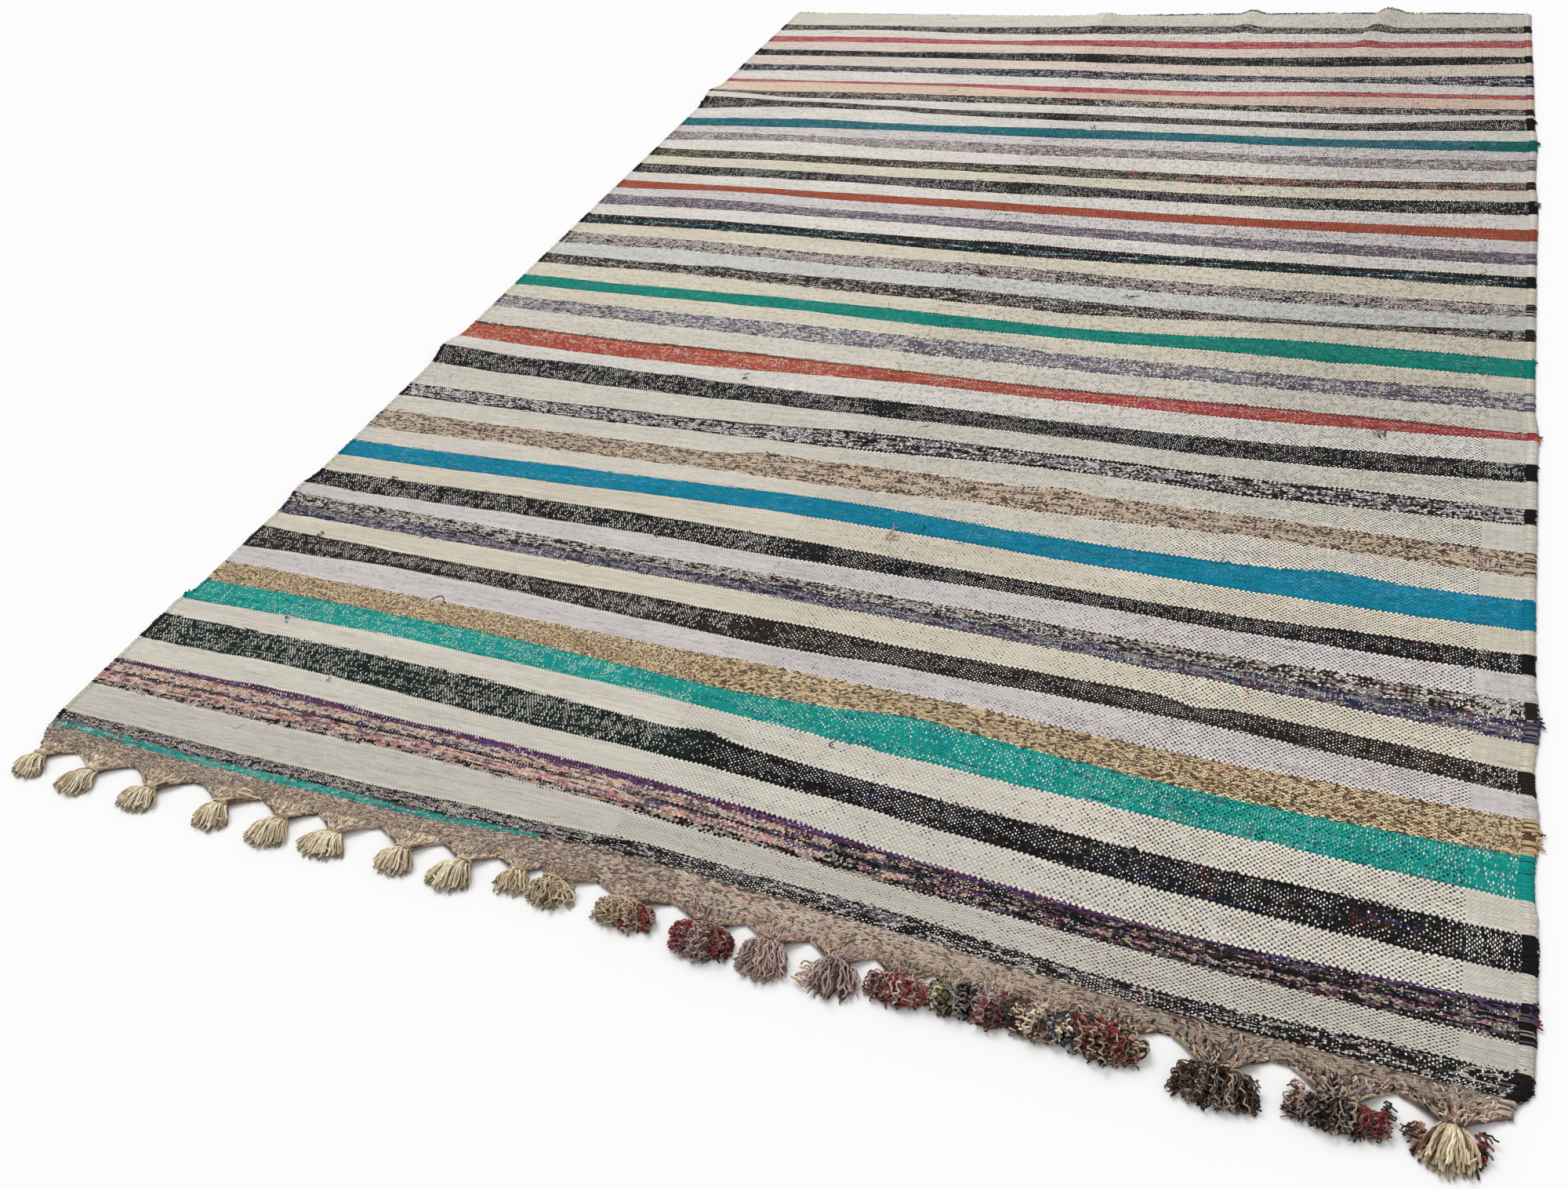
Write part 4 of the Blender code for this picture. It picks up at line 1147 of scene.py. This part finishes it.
CRUMB_TINTS = (FAWN, PINKISH, STONE, TAUPE, ROSE, RUSSET, CINDER, ROSE, FAWN_BROWN)
EARTHS_CRUMB_TINTS = (FAWN, PINKISH, STONE, SOOT, SAND, RUSSET, SLATE_BLUE, ROSE, SOOT, FAWN_BROWN)
PALE_CRUMB_TINTS = (STONE, SAND, FAWN_GREY, PINKISH, TAUPE, FAWN_GREY)
HEAPED = (15, 16, 17, 18)   # tassels, counted from 0, whose curls also cover their aprons
FAN_GAP = 0.0006            # between two tassels' aprons where they leave the weave
FAN_MOST = 0.094            # the widest apron
SELVEDGE_MARGIN = 0.006
APRON_TIE = 0.85            # the apron's share of the neck's width
SIDE_DRAW = 0.26            # how much shorter the yarns at a skirt's sides are
RIB_STEP = 0.0026           # between an apron's yarns where they leave the weave
CRUMBS = 1500               # bits of yarn on a metre of apron
CRUMB_BAND = 0.034          # how far up the weave they lie for a share of 1
NECK_POINTS = 12            # on one turn of yarn round a neck
SKIRT_STEP = 0.00085        # a straight skirt has one yarn for each of these across it
CURL_STEP = 0.00054         # and a curled one has one curl
LOOPED_YARNS = 4
HEAP_CURLS = 34
HEAP_REACH = 0.56           # the share of its skirt's width that a heap reaches to either side
TASSEL_SEED = 700


def fan_span(index):
    """The x range of a tassel's apron at the weave: to the middle of the gap to each neighbour."""
    here = TASSELS[index].x
    low = -LEFT_SELVEDGE[0][1] + SELVEDGE_MARGIN
    high = RUG_WIDTH + RIGHT_SELVEDGE[0][1] - SELVEDGE_MARGIN
    if index > 0:
        low = (TASSELS[index - 1].x + here) / 2.0
    if index + 1 < len(TASSELS):
        high = (here + TASSELS[index + 1].x) / 2.0
    low = max(low, here - FAN_MOST / 2.0) + FAN_GAP / 2.0
    high = min(high, here + FAN_MOST / 2.0) - FAN_GAP / 2.0
    return low, high


def neck_half(tassel):
    """Half the width of a tassel's neck: the curled ones are tied loosely."""
    return 0.0098 + 0.0070 * tassel.curled


def apron_side(tassel, span, x):
    """Where x lies on an apron: -1 to 1, and 0 at the neck."""
    return (x - tassel.x) / max(abs(span[0] - tassel.x), abs(span[1] - tassel.x))


def apron_bend(side):
    """The power that lets an apron's outer yarns keep near the weave for longer."""
    return 1.0 + 0.28 * side * side


def apron_rise(tassel):
    """How high an apron rises at the neck."""
    return min(0.012, tassel.loft * 0.70)


def lay_apron(guides, tassel, span, dice):
    """The warps beyond the weave, gathered from their own places into the tassel's neck."""
    count = max(8, round((span[1] - span[0]) / RIB_STEP))
    neck_y = near_edge(tassel.x) - tassel.neck
    for i in range(count):
        share = (i + 0.5) / count
        x0 = span[0] + (span[1] - span[0]) * share + dice.uniform(-0.0005, 0.0005)
        side = apron_side(tassel, span, x0)
        x1 = tassel.x + side * neck_half(tassel) * APRON_TIE
        high = dice.uniform(0.30, 1.0) * apron_rise(tassel)
        outer = abs(side) + dice.uniform(-0.15, 0.15) > 0.62
        tint = dice.choice(EDGE_TINTS if outer else tassel.apron)
        strength = dice.uniform(0.62, 1.08) * (1.0 - 0.12 * tassel.curled)
        points = [(x0, near_edge(x0) + 0.006, 0.0010)]
        for s in (0.0, 0.2, 0.4, 0.6, 0.8, 1.0):
            x = x0 + (x1 - x0) * s
            y = near_edge(x0) + (neck_y - near_edge(x0)) * s ** apron_bend(side)
            wave = 0.0011 * sin(s * 9.0 + i * 2.4)
            points.append((x, y, 0.0018 + (high - 0.0018) * smoothstep(s) + wave * smoothstep(s * 4.0)))
        guides.lay(points, toned(tint, strength), 0.00180, 0.00150)


def lay_crumbs(guides, tassel, span, dice):
    """Short bits of odd yarn over the apron and the weave's edge, which make them look knotted."""
    neck_y = near_edge(tassel.x) - tassel.neck
    tints = PALE_CRUMB_TINTS if tassel.apron is PALE else CRUMB_TINTS
    tints = EARTHS_CRUMB_TINTS if tassel.apron is EARTHS else tints
    for _ in range(round((span[1] - span[0]) * CRUMBS)):
        x0 = dice.uniform(span[0] + 0.001, span[1] - 0.001)
        side = apron_side(tassel, span, x0)
        x1 = tassel.x + side * neck_half(tassel) * APRON_TIE
        run = Vector((x1 - x0, neck_y - near_edge(x0), 0.0))
        s = dice.uniform(-0.55, 0.55 if tassel.apron is PALE else 0.95)
        if s < 0.0:
            middle = Vector((x0, near_edge(x0) - s * CRUMB_BAND, CLOTH_THICKNESS + 0.0002))
        else:
            middle = Vector((x0 + run.x * s, near_edge(x0) + run.y * s ** apron_bend(side), 0.0))
            middle.z = 0.0036 + dice.uniform(0.45, 0.85) * apron_rise(tassel) * smoothstep(s)
        turn = atan2(run.y, run.x) + dice.uniform(-0.9, 0.9)
        length = dice.uniform(0.0035, 0.0075)
        bow = dice.uniform(-0.0012, 0.0012)
        points = []
        for k in (-0.5, -0.15, 0.15, 0.5):
            arch = 1.0 - 4.0 * k * k
            out = Vector((cos(turn), sin(turn), 0.0)) * length * k
            across = Vector((-sin(turn), cos(turn), 0.0)) * bow * arch
            points.append(middle + out + across + Vector((0.0, 0.0, 0.0010 * arch)))
        strength = dice.uniform(0.6, 1.25)
        guides.lay(points, toned(dice.choice(tints), strength), 0.0011, 0.0009)


def lay_neck(guides, tassel, dice):
    """A few turns of yarn round the neck."""
    y = near_edge(tassel.x) - tassel.neck
    half = neck_half(tassel)
    high = min(0.0062, tassel.loft * 0.42)
    for turn in range(2):
        tint = dice.choice(tassel.apron)
        slant = dice.uniform(-0.0012, 0.0012)
        points = []
        for i in range(NECK_POINTS + 1):
            angle = 2.0 * pi * i / NECK_POINTS
            points.append((
                tassel.x + half * cos(angle),
                y - 0.0012 + turn * 0.0017 + slant * cos(angle),
                high + 0.0012 + high * sin(angle)))
        guides.lay(points, toned(tint, 0.8), 0.0009)


def skirt_path(tassel, side, layer, length, dice):
    """The middle line of one skirt yarn: it leaves the neck, flares and comes down to lie level."""
    lean = dice.uniform(-0.10, 0.10) + tassel.curled * dice.uniform(-0.55, 0.55)
    y0 = near_edge(tassel.x) - tassel.neck + 0.002 - 0.004 * tassel.curled
    middle = (tassel.left + tassel.right) / 2.0
    half = (tassel.right - tassel.left) / 2.0 - 0.001
    tip_y = y0 + (-tassel.reach - y0) * (1.0 - SIDE_DRAW * side * side) * length
    points = []
    for s in (0.0, 0.08, 0.2, 0.36, 0.54, 0.72, 0.87, 1.0):
        full = 0.36 + 0.64 * smoothstep(s / 0.38)
        fan = 0.24 + 0.76 * min(1.0, s * 1.08) ** 0.9
        flare = fan + (full - fan) * tassel.curled
        here = max(-1.0, min(1.0, side + lean * (s - 0.4)))
        x = tassel.x + (middle + half * here - tassel.x) * flare
        y = y0 + (tip_y - y0) * s
        rise = 0.26 + 0.24 * (1.0 - tassel.curled)
        fall = 0.50 * smoothstep((s - rise) / (1.0 - rise))
        crown = tassel.loft * (0.44 + 0.56 * smoothstep(s / rise) - fall)
        arch = 1.0 - 0.35 * side * side
        points.append(Vector((x, y, crown * arch * layer + 0.001)))
    return points


def roughen(points, dice, amount, wave):
    """Let a yarn wander off its middle line, more towards its tip."""
    start = Vector((dice.uniform(0.0, 90.0), dice.uniform(0.0, 90.0), dice.uniform(0.0, 90.0)))
    rough = []
    for i, point in enumerate(points):
        s = i / (len(points) - 1)
        stray = noise.noise_vector(start + point * wave)
        rough.append(point + stray * amount * (0.25 + 0.75 * s))
    return rough


def curl(points, dice, radius, turns):
    """Wind a path round its own middle line."""
    count = max(10, round(turns * 5))
    phase = dice.uniform(0.0, 2.0 * pi)
    sense = dice.choice((-1.0, 1.0))
    curled = []
    for i in range(count + 1):
        s = i / count
        place = s * (len(points) - 1)
        k = min(int(place), len(points) - 2)
        centre = points[k].lerp(points[k + 1], place - k)
        angle = phase + sense * 2.0 * pi * turns * s
        swing = radius * smoothstep(s * 4.0)
        around = Vector((cos(angle) * swing, sin(angle * 0.9) * swing * 0.6, sin(angle) * swing))
        curled.append(centre + around)
    return curled


def pick_tint(tassel, side, layer, dice):
    """A tint for a yarn at this side of the skirt, darkened as painted shade the lower its layer lies."""
    count = len(tassel.tints)
    spread = 1.2 + 1.6 * tassel.curled
    pick = int((side * 0.5 + 0.5) * count + dice.uniform(-spread, spread))
    tint = tassel.tints[min(max(pick, 0), count - 1)]
    # Painted shade: the lower layers of a skirt get darker tints.
    return toned(tint, dice.uniform(0.72, 1.28) * (0.42 + 0.66 * layer), PALEST)


def lay_straight_skirt(guides, tassel, dice):
    """A skirt of plain yarns in three loose layers, a few of them doubled back as loops."""
    count = round((tassel.right - tassel.left) / SKIRT_STEP)
    stout = 0.0003 if tassel.apron is EARTHS else 0.0
    for i in range(count):
        side = max(-1.0, min(1.0, 2.0 * (i + 0.5) / count - 1.0 + dice.uniform(-0.10, 0.10)))
        layer = (0.06, 0.50, 0.92)[i % 3] + dice.uniform(-0.05, 0.06)
        length = dice.uniform(0.84, 1.0) * (1.0 - 0.06 * (i % 3))
        points = roughen(skirt_path(tassel, side, layer, length, dice), dice, 0.0032, 45.0)
        points = roughen(points, dice, stout * 12.0, 90.0)
        guides.lay(points, pick_tint(tassel, side, layer, dice), 0.00120 + stout, 0.00100 + stout)
    for _ in range(LOOPED_YARNS):
        side = dice.uniform(-0.6, 0.6)
        out = skirt_path(tassel, side, 1.0, dice.uniform(0.45, 0.75), dice)
        back = skirt_path(tassel, side + dice.choice((-0.35, 0.35)), 1.0, 0.6, dice)
        points = roughen(out + back[:2:-1], dice, 0.002, 45.0)
        guides.lay(points, pick_tint(tassel, side, 1.0, dice), 0.00110)


def lay_curled_skirt(guides, tassel, dice):
    """A skirt of curls in many tints, heaped round the neck."""
    fine = 0.80 if tassel.apron is EARTHS else 1.0
    count = round((tassel.right - tassel.left) / (CURL_STEP * fine))
    for i in range(count):
        side = max(-1.0, min(1.0, 2.0 * (i + 0.5) / count - 1.0 + dice.uniform(-0.16, 0.16)))
        layer = (i % 4) / 3.0 * 0.80 + dice.uniform(0.04, 0.10)
        length = dice.uniform(0.40, 0.95) if layer > 0.45 else dice.uniform(0.76, 0.97)
        points = roughen(skirt_path(tassel, side, layer, length, dice), dice, 0.007, 45.0)
        swing = dice.uniform(0.0014, 0.0030) * (0.35 + 0.65 * tassel.curled)
        points = curl(points, dice, swing, dice.uniform(3.0, 6.0) * (0.4 + 0.6 * tassel.curled))
        points = roughen(points, dice, 0.0035 * tassel.curled, 130.0)
        guides.lay(points, pick_tint(tassel, side, layer, dice), 0.00122 * fine, 0.00100 * fine)


def lay_heap(guides, tassel, dice):
    """Curls that lie over the apron, right up to the weave."""
    for _ in range(HEAP_CURLS):
        side = dice.uniform(-1.0, 1.0)
        x = (tassel.left + tassel.right) / 2.0 + side * (tassel.right - tassel.left) * HEAP_REACH
        y = near_edge(x) - dice.uniform(0.002, 0.020)
        z = dice.uniform(0.35, 0.80) * tassel.loft * smoothstep(0.35 + (near_edge(x) - y) / 0.02)
        turn = dice.uniform(-1.9, -1.2)
        length = dice.uniform(0.010, 0.022)
        points = []
        for k in (0.0, 0.35, 0.7, 1.0):
            points.append(Vector((x + cos(turn) * length * k, y + sin(turn) * length * k, z)))
        points = curl(points, dice, dice.uniform(0.0024, 0.0038), dice.uniform(1.5, 2.6))
        guides.lay(points, pick_tint(tassel, side, 0.9, dice), 0.00130)


def tassel_guides(index, tassel):
    """All the yarns of one tassel: its apron, its neck and its skirt."""
    dice = random.Random(TASSEL_SEED + index)
    guides = Guides()
    lay_apron(guides, tassel, fan_span(index), dice)
    lay_crumbs(guides, tassel, fan_span(index), dice)
    if tassel.apron is not EARTHS:
        lay_neck(guides, tassel, dice)
    if tassel.curled:
        lay_curled_skirt(guides, tassel, dice)
    else:
        lay_straight_skirt(guides, tassel, dice)
    if index in HEAPED:
        lay_heap(guides, tassel, dice)
    for tuft in TASSEL_TUFTS.get(index, ()):
        lay_tuft(guides, tuft, 0.004, dice)
    return guides


def make_tassels():
    """Every tassel with its apron, one piece each."""
    finishes = {}
    pieces = []
    for index, tassel in enumerate(TASSELS):
        guides = tassel_guides(index, tassel)
        if tassel.slot not in finishes:
            mottled = 0.3 if tassel.slot == "cream_yarn" else 1.0
            finishes[tassel.slot] = yarn_finish(tassel.slot, mottled)
        piece = guides.spin(f"yarns_of_tassel_{index + 1:02d}", finishes[tassel.slot])
        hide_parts(f"tassel_{index + 1:02d}")
        pieces.append(piece)
    return pieces


# ------------------------------------------------ selvedges, loose ends and fuzz
TURN_STEP = 0.0023          # between the weft's turns along a selvedge
TURN_PATH = (               # (out past the outline, height over the cloth's underside)
    (-0.0150, 0.0032), (-0.0100, 0.0042), (-0.0045, 0.0044), (0.0004, 0.0030), (-0.0006, 0.0010),
    (-0.0060, 0.0004))
LEFT_TURNS = 0.5            # the left selvedge's turns reach in by this share of that
END_MARGIN = 0.004          # between the first or last turn and the weave's end

# A tuft: where it is, which way its yarns lie in degrees, how far they reach, how many they are, and of
# which tints.
Tuft = namedtuple("Tuft", "x y bearing reach count tints")
TASSEL_TUFTS = {            # beside a tassel, by its number counted from 0
    3: (Tuft(0.352, -0.026, -48, 0.034, 2, (FLAX, SAND)),),
    12: (Tuft(1.146, -0.047, 10, 0.012, 9, (TAN, HAY, FAWN)),),
    20: (Tuft(1.728, -0.034, 20, 0.010, 16, (SOOT, UMBER, SLATE_BLUE)),
         Tuft(1.654, -0.034, 195, 0.012, 14, (ROSE, UMBER))),
    21: (Tuft(1.760, -0.046, 215, 0.013, 30, (EMBER, SOOT, UMBER, RUSSET)),
         Tuft(1.808, -0.040, -40, 0.011, 24, (BLOOD, SOOT, UMBER)))}
SELVEDGE_TUFTS = (          # at the ends of stripes
    Tuft(1.838, 0.036, -12, 0.011, 26, (BLACK, BROWN_BLACK)),
    Tuft(1.852, 0.338, 10, 0.011, 20, (TAN, STRAW, BROWN)),
    Tuft(1.848, 0.112, 5, 0.010, 22, (PURPLE, WINE, NAVY)),
    Tuft(1.852, 0.522, 5, 0.010, 18, (VIOLET, PLUM, BLACK)),
    Tuft(1.846, 0.635, -5, 0.007, 12, (BLACK,)),
    Tuft(1.850, 1.048, 10, 0.008, 14, (BLACK, BROWN_BLACK)),
    Tuft(1.853, 1.120, 0, 0.010, 16, (BRICK, RUST, ORANGE)),
    Tuft(1.850, 1.340, 10, 0.006, 9, (EMERALD, PETROL)),
    Tuft(1.853, 1.900, 10, 0.009, 14, (BLACK, GREY)),
    Tuft(1.853, 2.175, 0, 0.010, 14, (TURQUOISE, PETROL)),
    Tuft(1.850, 2.282, 10, 0.007, 10, (BLACK,)),
    Tuft(-0.008, 0.322, 175, 0.006, 12, (TEAL, PETROL)),
    Tuft(0.001, 0.470, 185, 0.004, 6, (BLACK, BROWN_BLACK)),
    Tuft(0.000, 0.640, 175, 0.004, 6, (BLACK,)),
    Tuft(0.000, 1.050, 190, 0.005, 8, (BLACK, BROWN_BLACK)),
    Tuft(0.001, 1.440, 180, 0.004, 6, (BROWN_BLACK, MAUVE)),
    Tuft(0.000, 2.260, 180, 0.005, 7, (BLACK,)))
KNOTS = (                   # tufts and ends that stand on the cloth
    Tuft(1.005, 0.698, 60, 0.016, 16, (PEACH, HAY, PINKISH)),
    Tuft(0.612, 1.070, 20, 0.010, 4, (BLACK, BROWN_BLACK)),
    Tuft(0.190, 0.310, 0, 0.009, 4, (TEAL, PETROL)),
    Tuft(0.335, 0.217, 20, 0.008, 3, (BLACK,)),
    Tuft(0.118, 0.499, 200, 0.009, 4, (BLACK, BROWN_BLACK)),
    Tuft(0.660, 0.620, 160, 0.009, 3, (BLACK, BROWN_BLACK)),
    Tuft(0.142, 0.667, 10, 0.009, 4, (BLACK,)),
    Tuft(0.893, 0.950, 95, 0.012, 3, (BLACK, BROWN_BLACK)),
    Tuft(1.540, 0.500, 88, 0.015, 3, (BRICK, RUST)),
    Tuft(1.650, 1.080, 100, 0.014, 5, (BLACK, BROWN_BLACK)),
    Tuft(1.200, 1.444, 0, 0.018, 3, (BLACK,)),
    Tuft(0.980, 2.182, 60, 0.009, 4, (BLACK, PETROL)),
    Tuft(1.470, 0.740, 60, 0.008, 3, (TURQUOISE, PETROL)),
    Tuft(1.330, 1.905, 30, 0.009, 3, (BLACK, BROWN_BLACK)))
KNOT_SINK = 0.0014          # how far a knot is worked into the cloth
STRAY_THREADS = 130
FAR_FUZZ_STEP = 0.0036
FAR_STRANDS = 46            # dark strands that lie along the far edge's right half
STRAND_CUTS = 6
SELVEDGE_SEED = 40
LOOSE_SEED = 52
FAR_SEED = 61


def cloth_top(x, y):
    """Height of the cloth's top at (x, y)."""
    return height_at(x, plain_y(x, y)) + CLOTH_THICKNESS


def band_between(edges, y):
    """The number of the band that y lies in, by the bands' edges there."""
    return sum(y > edge for edge in edges[1:-1])


def blend_at(x, y):
    """The blend that the band at (x, y) starts with."""
    return BLENDS[LAID[band_between(edges_at(x), y)][0]]


def turn_tint(blend, dice):
    """One of a blend's yarns for a turn; in a dark band the dark ones come more often."""
    pick = dice.random() * (0.6 if sum(blend.first) < 0.1 else 1.0)
    if pick > blend.first_share + blend.second_share:
        return blend.third
    return blend.first if pick < blend.first_share else blend.second


def lay_turns(guides, side, dice):
    """The wefts' turns round the last warps of one selvedge: side is -1 on the left and 1 on the right."""
    x = 0.0 if side < 0 else RUG_WIDTH
    edges = edges_at(x)
    blends = numbered_blends()
    reach_in = 1.0 if side > 0 else LEFT_TURNS
    y = edges[0] + END_MARGIN
    while y < edges[-1] - END_MARGIN:
        tint = turn_tint(blends[band_here(band_between(edges, y), x)], dice)
        strength = dice.uniform(1.00, 1.20)
        dark = 1.0 - smoothstep(sum(tint) / 0.9)
        out = dice.uniform(-0.0008, 0.0010) + 0.0016 * noise.noise(Vector((y * 45.0, side * 9.0, 0.0)))
        radius = dice.uniform(0.0012, 0.0016) + 0.0002 * dark
        slant = dice.uniform(-0.0022, 0.0022)
        base = height_at(x, y)
        edge_x = on_selvedges(x, y)
        points = []
        for i, (past, high) in enumerate(TURN_PATH):
            along_y = y + slant * (i / (len(TURN_PATH) - 1) - 0.4)
            points.append((edge_x + side * (past * reach_in + out), along_y, base + high))
        guides.lay(points, toned(tint, strength, PALEST), radius, radius * 0.85)
        y += TURN_STEP * dice.uniform(0.8, 1.2)


def lay_tuft(guides, tuft, base, dice, thin=1.0):
    """A small tuft of yarn ends that lie over one another."""
    for _ in range(tuft.count):
        turn = radians(tuft.bearing + dice.uniform(-55.0, 55.0))
        length = tuft.reach * dice.uniform(0.5, 1.25)
        x = tuft.x + dice.uniform(-0.3, 0.3) * tuft.reach
        start = Vector((x, tuft.y + dice.uniform(-0.9, 0.9) * tuft.reach, base))
        points = []
        for s in (0.0, 0.35, 0.7, 1.0):
            rise = 0.0015 + 0.0036 * sin(pi * min(s * 1.2, 1.0)) * dice.uniform(0.4, 1.0)
            points.append(start + Vector((cos(turn) * length * s, sin(turn) * length * s, rise)))
        points = curl(points, dice, dice.uniform(0.0006, 0.0018), dice.uniform(0.8, 1.8))
        strength = dice.uniform(0.8, 1.3)
        tint = toned(dice.choice(tuft.tints), strength, PALEST)
        guides.lay(points, tint, 0.0012 * thin, 0.0009 * thin)


def make_selvedge(side, name, finish):
    """One selvedge: the weft's turns, and the tufts that hang out of it."""
    dice = random.Random(SELVEDGE_SEED + side)
    guides = Guides()
    lay_turns(guides, side, dice)
    for tuft in SELVEDGE_TUFTS:
        if (tuft.x > RUG_WIDTH / 2.0) == (side > 0):
            lay_tuft(guides, tuft, height_at(tuft.x, tuft.y) + 0.0012, dice)
    return guides.spin(name, finish, step=0.0050)


def make_loose_ends(finish):
    """Knots, ends and pulled threads on the cloth."""
    dice = random.Random(LOOSE_SEED)
    guides = Guides()
    for knot in KNOTS:
        lay_tuft(guides, knot, cloth_top(knot.x, knot.y) - KNOT_SINK, dice, thin=0.62)
    for _ in range(STRAY_THREADS):
        x = dice.uniform(0.03, RUG_WIDTH - 0.03)
        y = dice.uniform(0.03, RUG_LENGTH - 0.05)
        turn = dice.uniform(-0.5, 0.5) + dice.choice((0.0, 0.0, 1.57))
        length = dice.uniform(0.008, 0.030)
        bow = dice.uniform(-0.5, 0.5) * length
        points = []
        for s in (0.0, 0.25, 0.5, 0.75, 1.0):
            here_x = x + (s - 0.5) * length * cos(turn) - bow * sin(turn) * 4.0 * s * (1.0 - s)
            here_y = y + (s - 0.5) * length * sin(turn) + bow * cos(turn) * 4.0 * s * (1.0 - s)
            points.append((here_x, here_y, cloth_top(here_x, here_y) + 0.0006 * sin(pi * s)))
        near = blend_at(x, y)
        tint = dice.choice((near.first, near.first, near.second, MILK, GREY, BLACK))
        guides.lay(points, tint, dice.uniform(0.0004, 0.0008))
    return guides.spin("loose_ends", finish, step=0.0040, sides=4)


def lay_far_ends(guides, dice):
    """The short worn ends of the warp along the far edge, with dark ones among them on the right."""
    x = 0.006
    while x < RUG_WIDTH - 0.006:
        dark = smoothstep((x - 0.85) / 0.25) * 0.62
        tints = (BLACK, BROWN_BLACK, GREY) if dice.random() < dark else (MILK, CHALK, STRAW)
        y = far_edge(x)
        lean = dice.uniform(-0.006, 0.006)
        reach = dice.uniform(0.003, 0.010) * (1.0 + 0.5 * dark)
        base = height_at(x, RUG_LENGTH)
        points = []
        for s in (0.0, 0.4, 0.75, 1.0):
            rise = 0.0030 - 0.0012 * s + 0.0022 * sin(pi * s) * dice.random()
            points.append((x + lean * s * s, y - 0.005 + (reach + 0.005) * s, base + rise))
        guides.lay(points, dice.choice(tints), 0.00105, 0.0008)
        x += FAR_FUZZ_STEP * dice.uniform(0.5, 1.5)


def lay_far_strands(guides, dice):
    """Dark strands that lie along the far edge."""
    for _ in range(FAR_STRANDS):
        x = dice.uniform(0.95, RUG_WIDTH - 0.05)
        length = dice.uniform(0.020, 0.060)
        start = dice.uniform(0.0, 90.0)
        points = []
        for k in range(STRAND_CUTS + 1):
            here_x = min(x + length * k / STRAND_CUTS, RUG_WIDTH - 0.004)
            stray = noise.noise(Vector((start + here_x * 55.0, start, 0.0)))
            high = height_at(here_x, RUG_LENGTH) + 0.0042 + 0.0010 * stray
            points.append((here_x, far_edge(here_x) - 0.001 + 0.005 * stray, high))
        guides.lay(points, dice.choice((BLACK, BROWN_BLACK, GREY, TAUPE)), 0.0010, 0.0007)


def make_far_fuzz(finish):
    """What is worn loose along the far edge."""
    dice = random.Random(FAR_SEED)
    guides = Guides()
    lay_far_ends(guides, dice)
    lay_far_strands(guides, dice)
    return guides.spin("far_edge_fuzz", finish)


def make_trimmings():
    """Both selvedges, the loose ends and the far edge's fuzz."""
    finish = yarn_finish("selvedge_yarn", mottled=0.0)
    pieces = [
        make_selvedge(-1, "left_selvedge", finish),
        make_selvedge(1, "right_selvedge", finish),
        make_loose_ends(finish),
        make_far_fuzz(finish)]
    return pieces


# ------------------------------------------------ stage, light and camera
CAMERA_PLACE = (1.60766, -0.83575, 1.26650)     # in the weaver's measures
CAMERA_TURN = (50.348, 6.924, 21.601)           # degrees
FOCAL_LENGTH = 32.417
SENSOR_WIDTH = 36.0
NEAR_CLIP = 0.05
FAR_CLIP = 260.0
FLOOR_SIZE = 500.0
FLOOR_DROP = 0.0002         # how far the floor lies under the rug, so that they don't share a plane
FLOOR_GREY = 0.90
ROOM_STRENGTH = 0.66
LAMP_STRENGTH = 1.75
LAMP_SPREAD = 36.0          # degrees, for soft shadows
LAMP_AIM = (1.5, -1.6, -2.6)


def make_stage():
    """A plain pale floor."""
    bm = bmesh.new()
    bmesh.ops.create_grid(bm, x_segments=1, y_segments=1, size=FLOOR_SIZE / 2.0)
    for vert in bm.verts:
        vert.co.z = -FLOOR_DROP
    mesh = bpy.data.meshes.new("floor")
    bm.to_mesh(mesh)
    bm.free()
    floor = add_mesh("floor", mesh)
    material, _, shader = new_finish("pale_floor")
    shader.inputs["Base Color"].default_value = (FLOOR_GREY, FLOOR_GREY, FLOOR_GREY, 1.0)
    shader.inputs["Sheen Weight"].default_value = 0.0
    mesh.materials.append(material)


def make_light():
    """Plain soft studio light: a pale room, and one far, broad light high over the rug's far left."""
    world = bpy.data.worlds.new("studio")
    bpy.context.scene.world = world
    world.use_nodes = True
    background = world.node_tree.nodes["Background"]
    background.inputs["Color"].default_value = (1.0, 1.0, 1.0, 1.0)
    background.inputs["Strength"].default_value = ROOM_STRENGTH
    lamp = bpy.data.lights.new("broad_lamp", "SUN")
    lamp.angle = radians(LAMP_SPREAD)
    lamp.energy = LAMP_STRENGTH
    item = bpy.data.objects.new("broad_lamp", lamp)
    item.rotation_euler = Vector(LAMP_AIM).to_track_quat("-Z", "Y").to_euler()
    bpy.context.scene.collection.objects.link(item)


def make_camera():
    """The photograph's own view."""
    lens = bpy.data.cameras.new("camera")
    lens.lens = FOCAL_LENGTH
    lens.sensor_width = SENSOR_WIDTH
    lens.clip_start = NEAR_CLIP
    lens.clip_end = FAR_CLIP
    camera = bpy.data.objects.new("camera", lens)
    camera.location = Vector(CAMERA_PLACE) + SHIFT
    camera.rotation_euler = [radians(angle) for angle in CAMERA_TURN]
    bpy.context.scene.collection.objects.link(camera)
    bpy.context.scene.camera = camera


bpy.context.scene.view_settings.view_transform = "Standard"
make_stage()
make_light()
make_camera()
cloth = make_cloth()
tassels = make_tassels()
trimmings = make_trimmings()
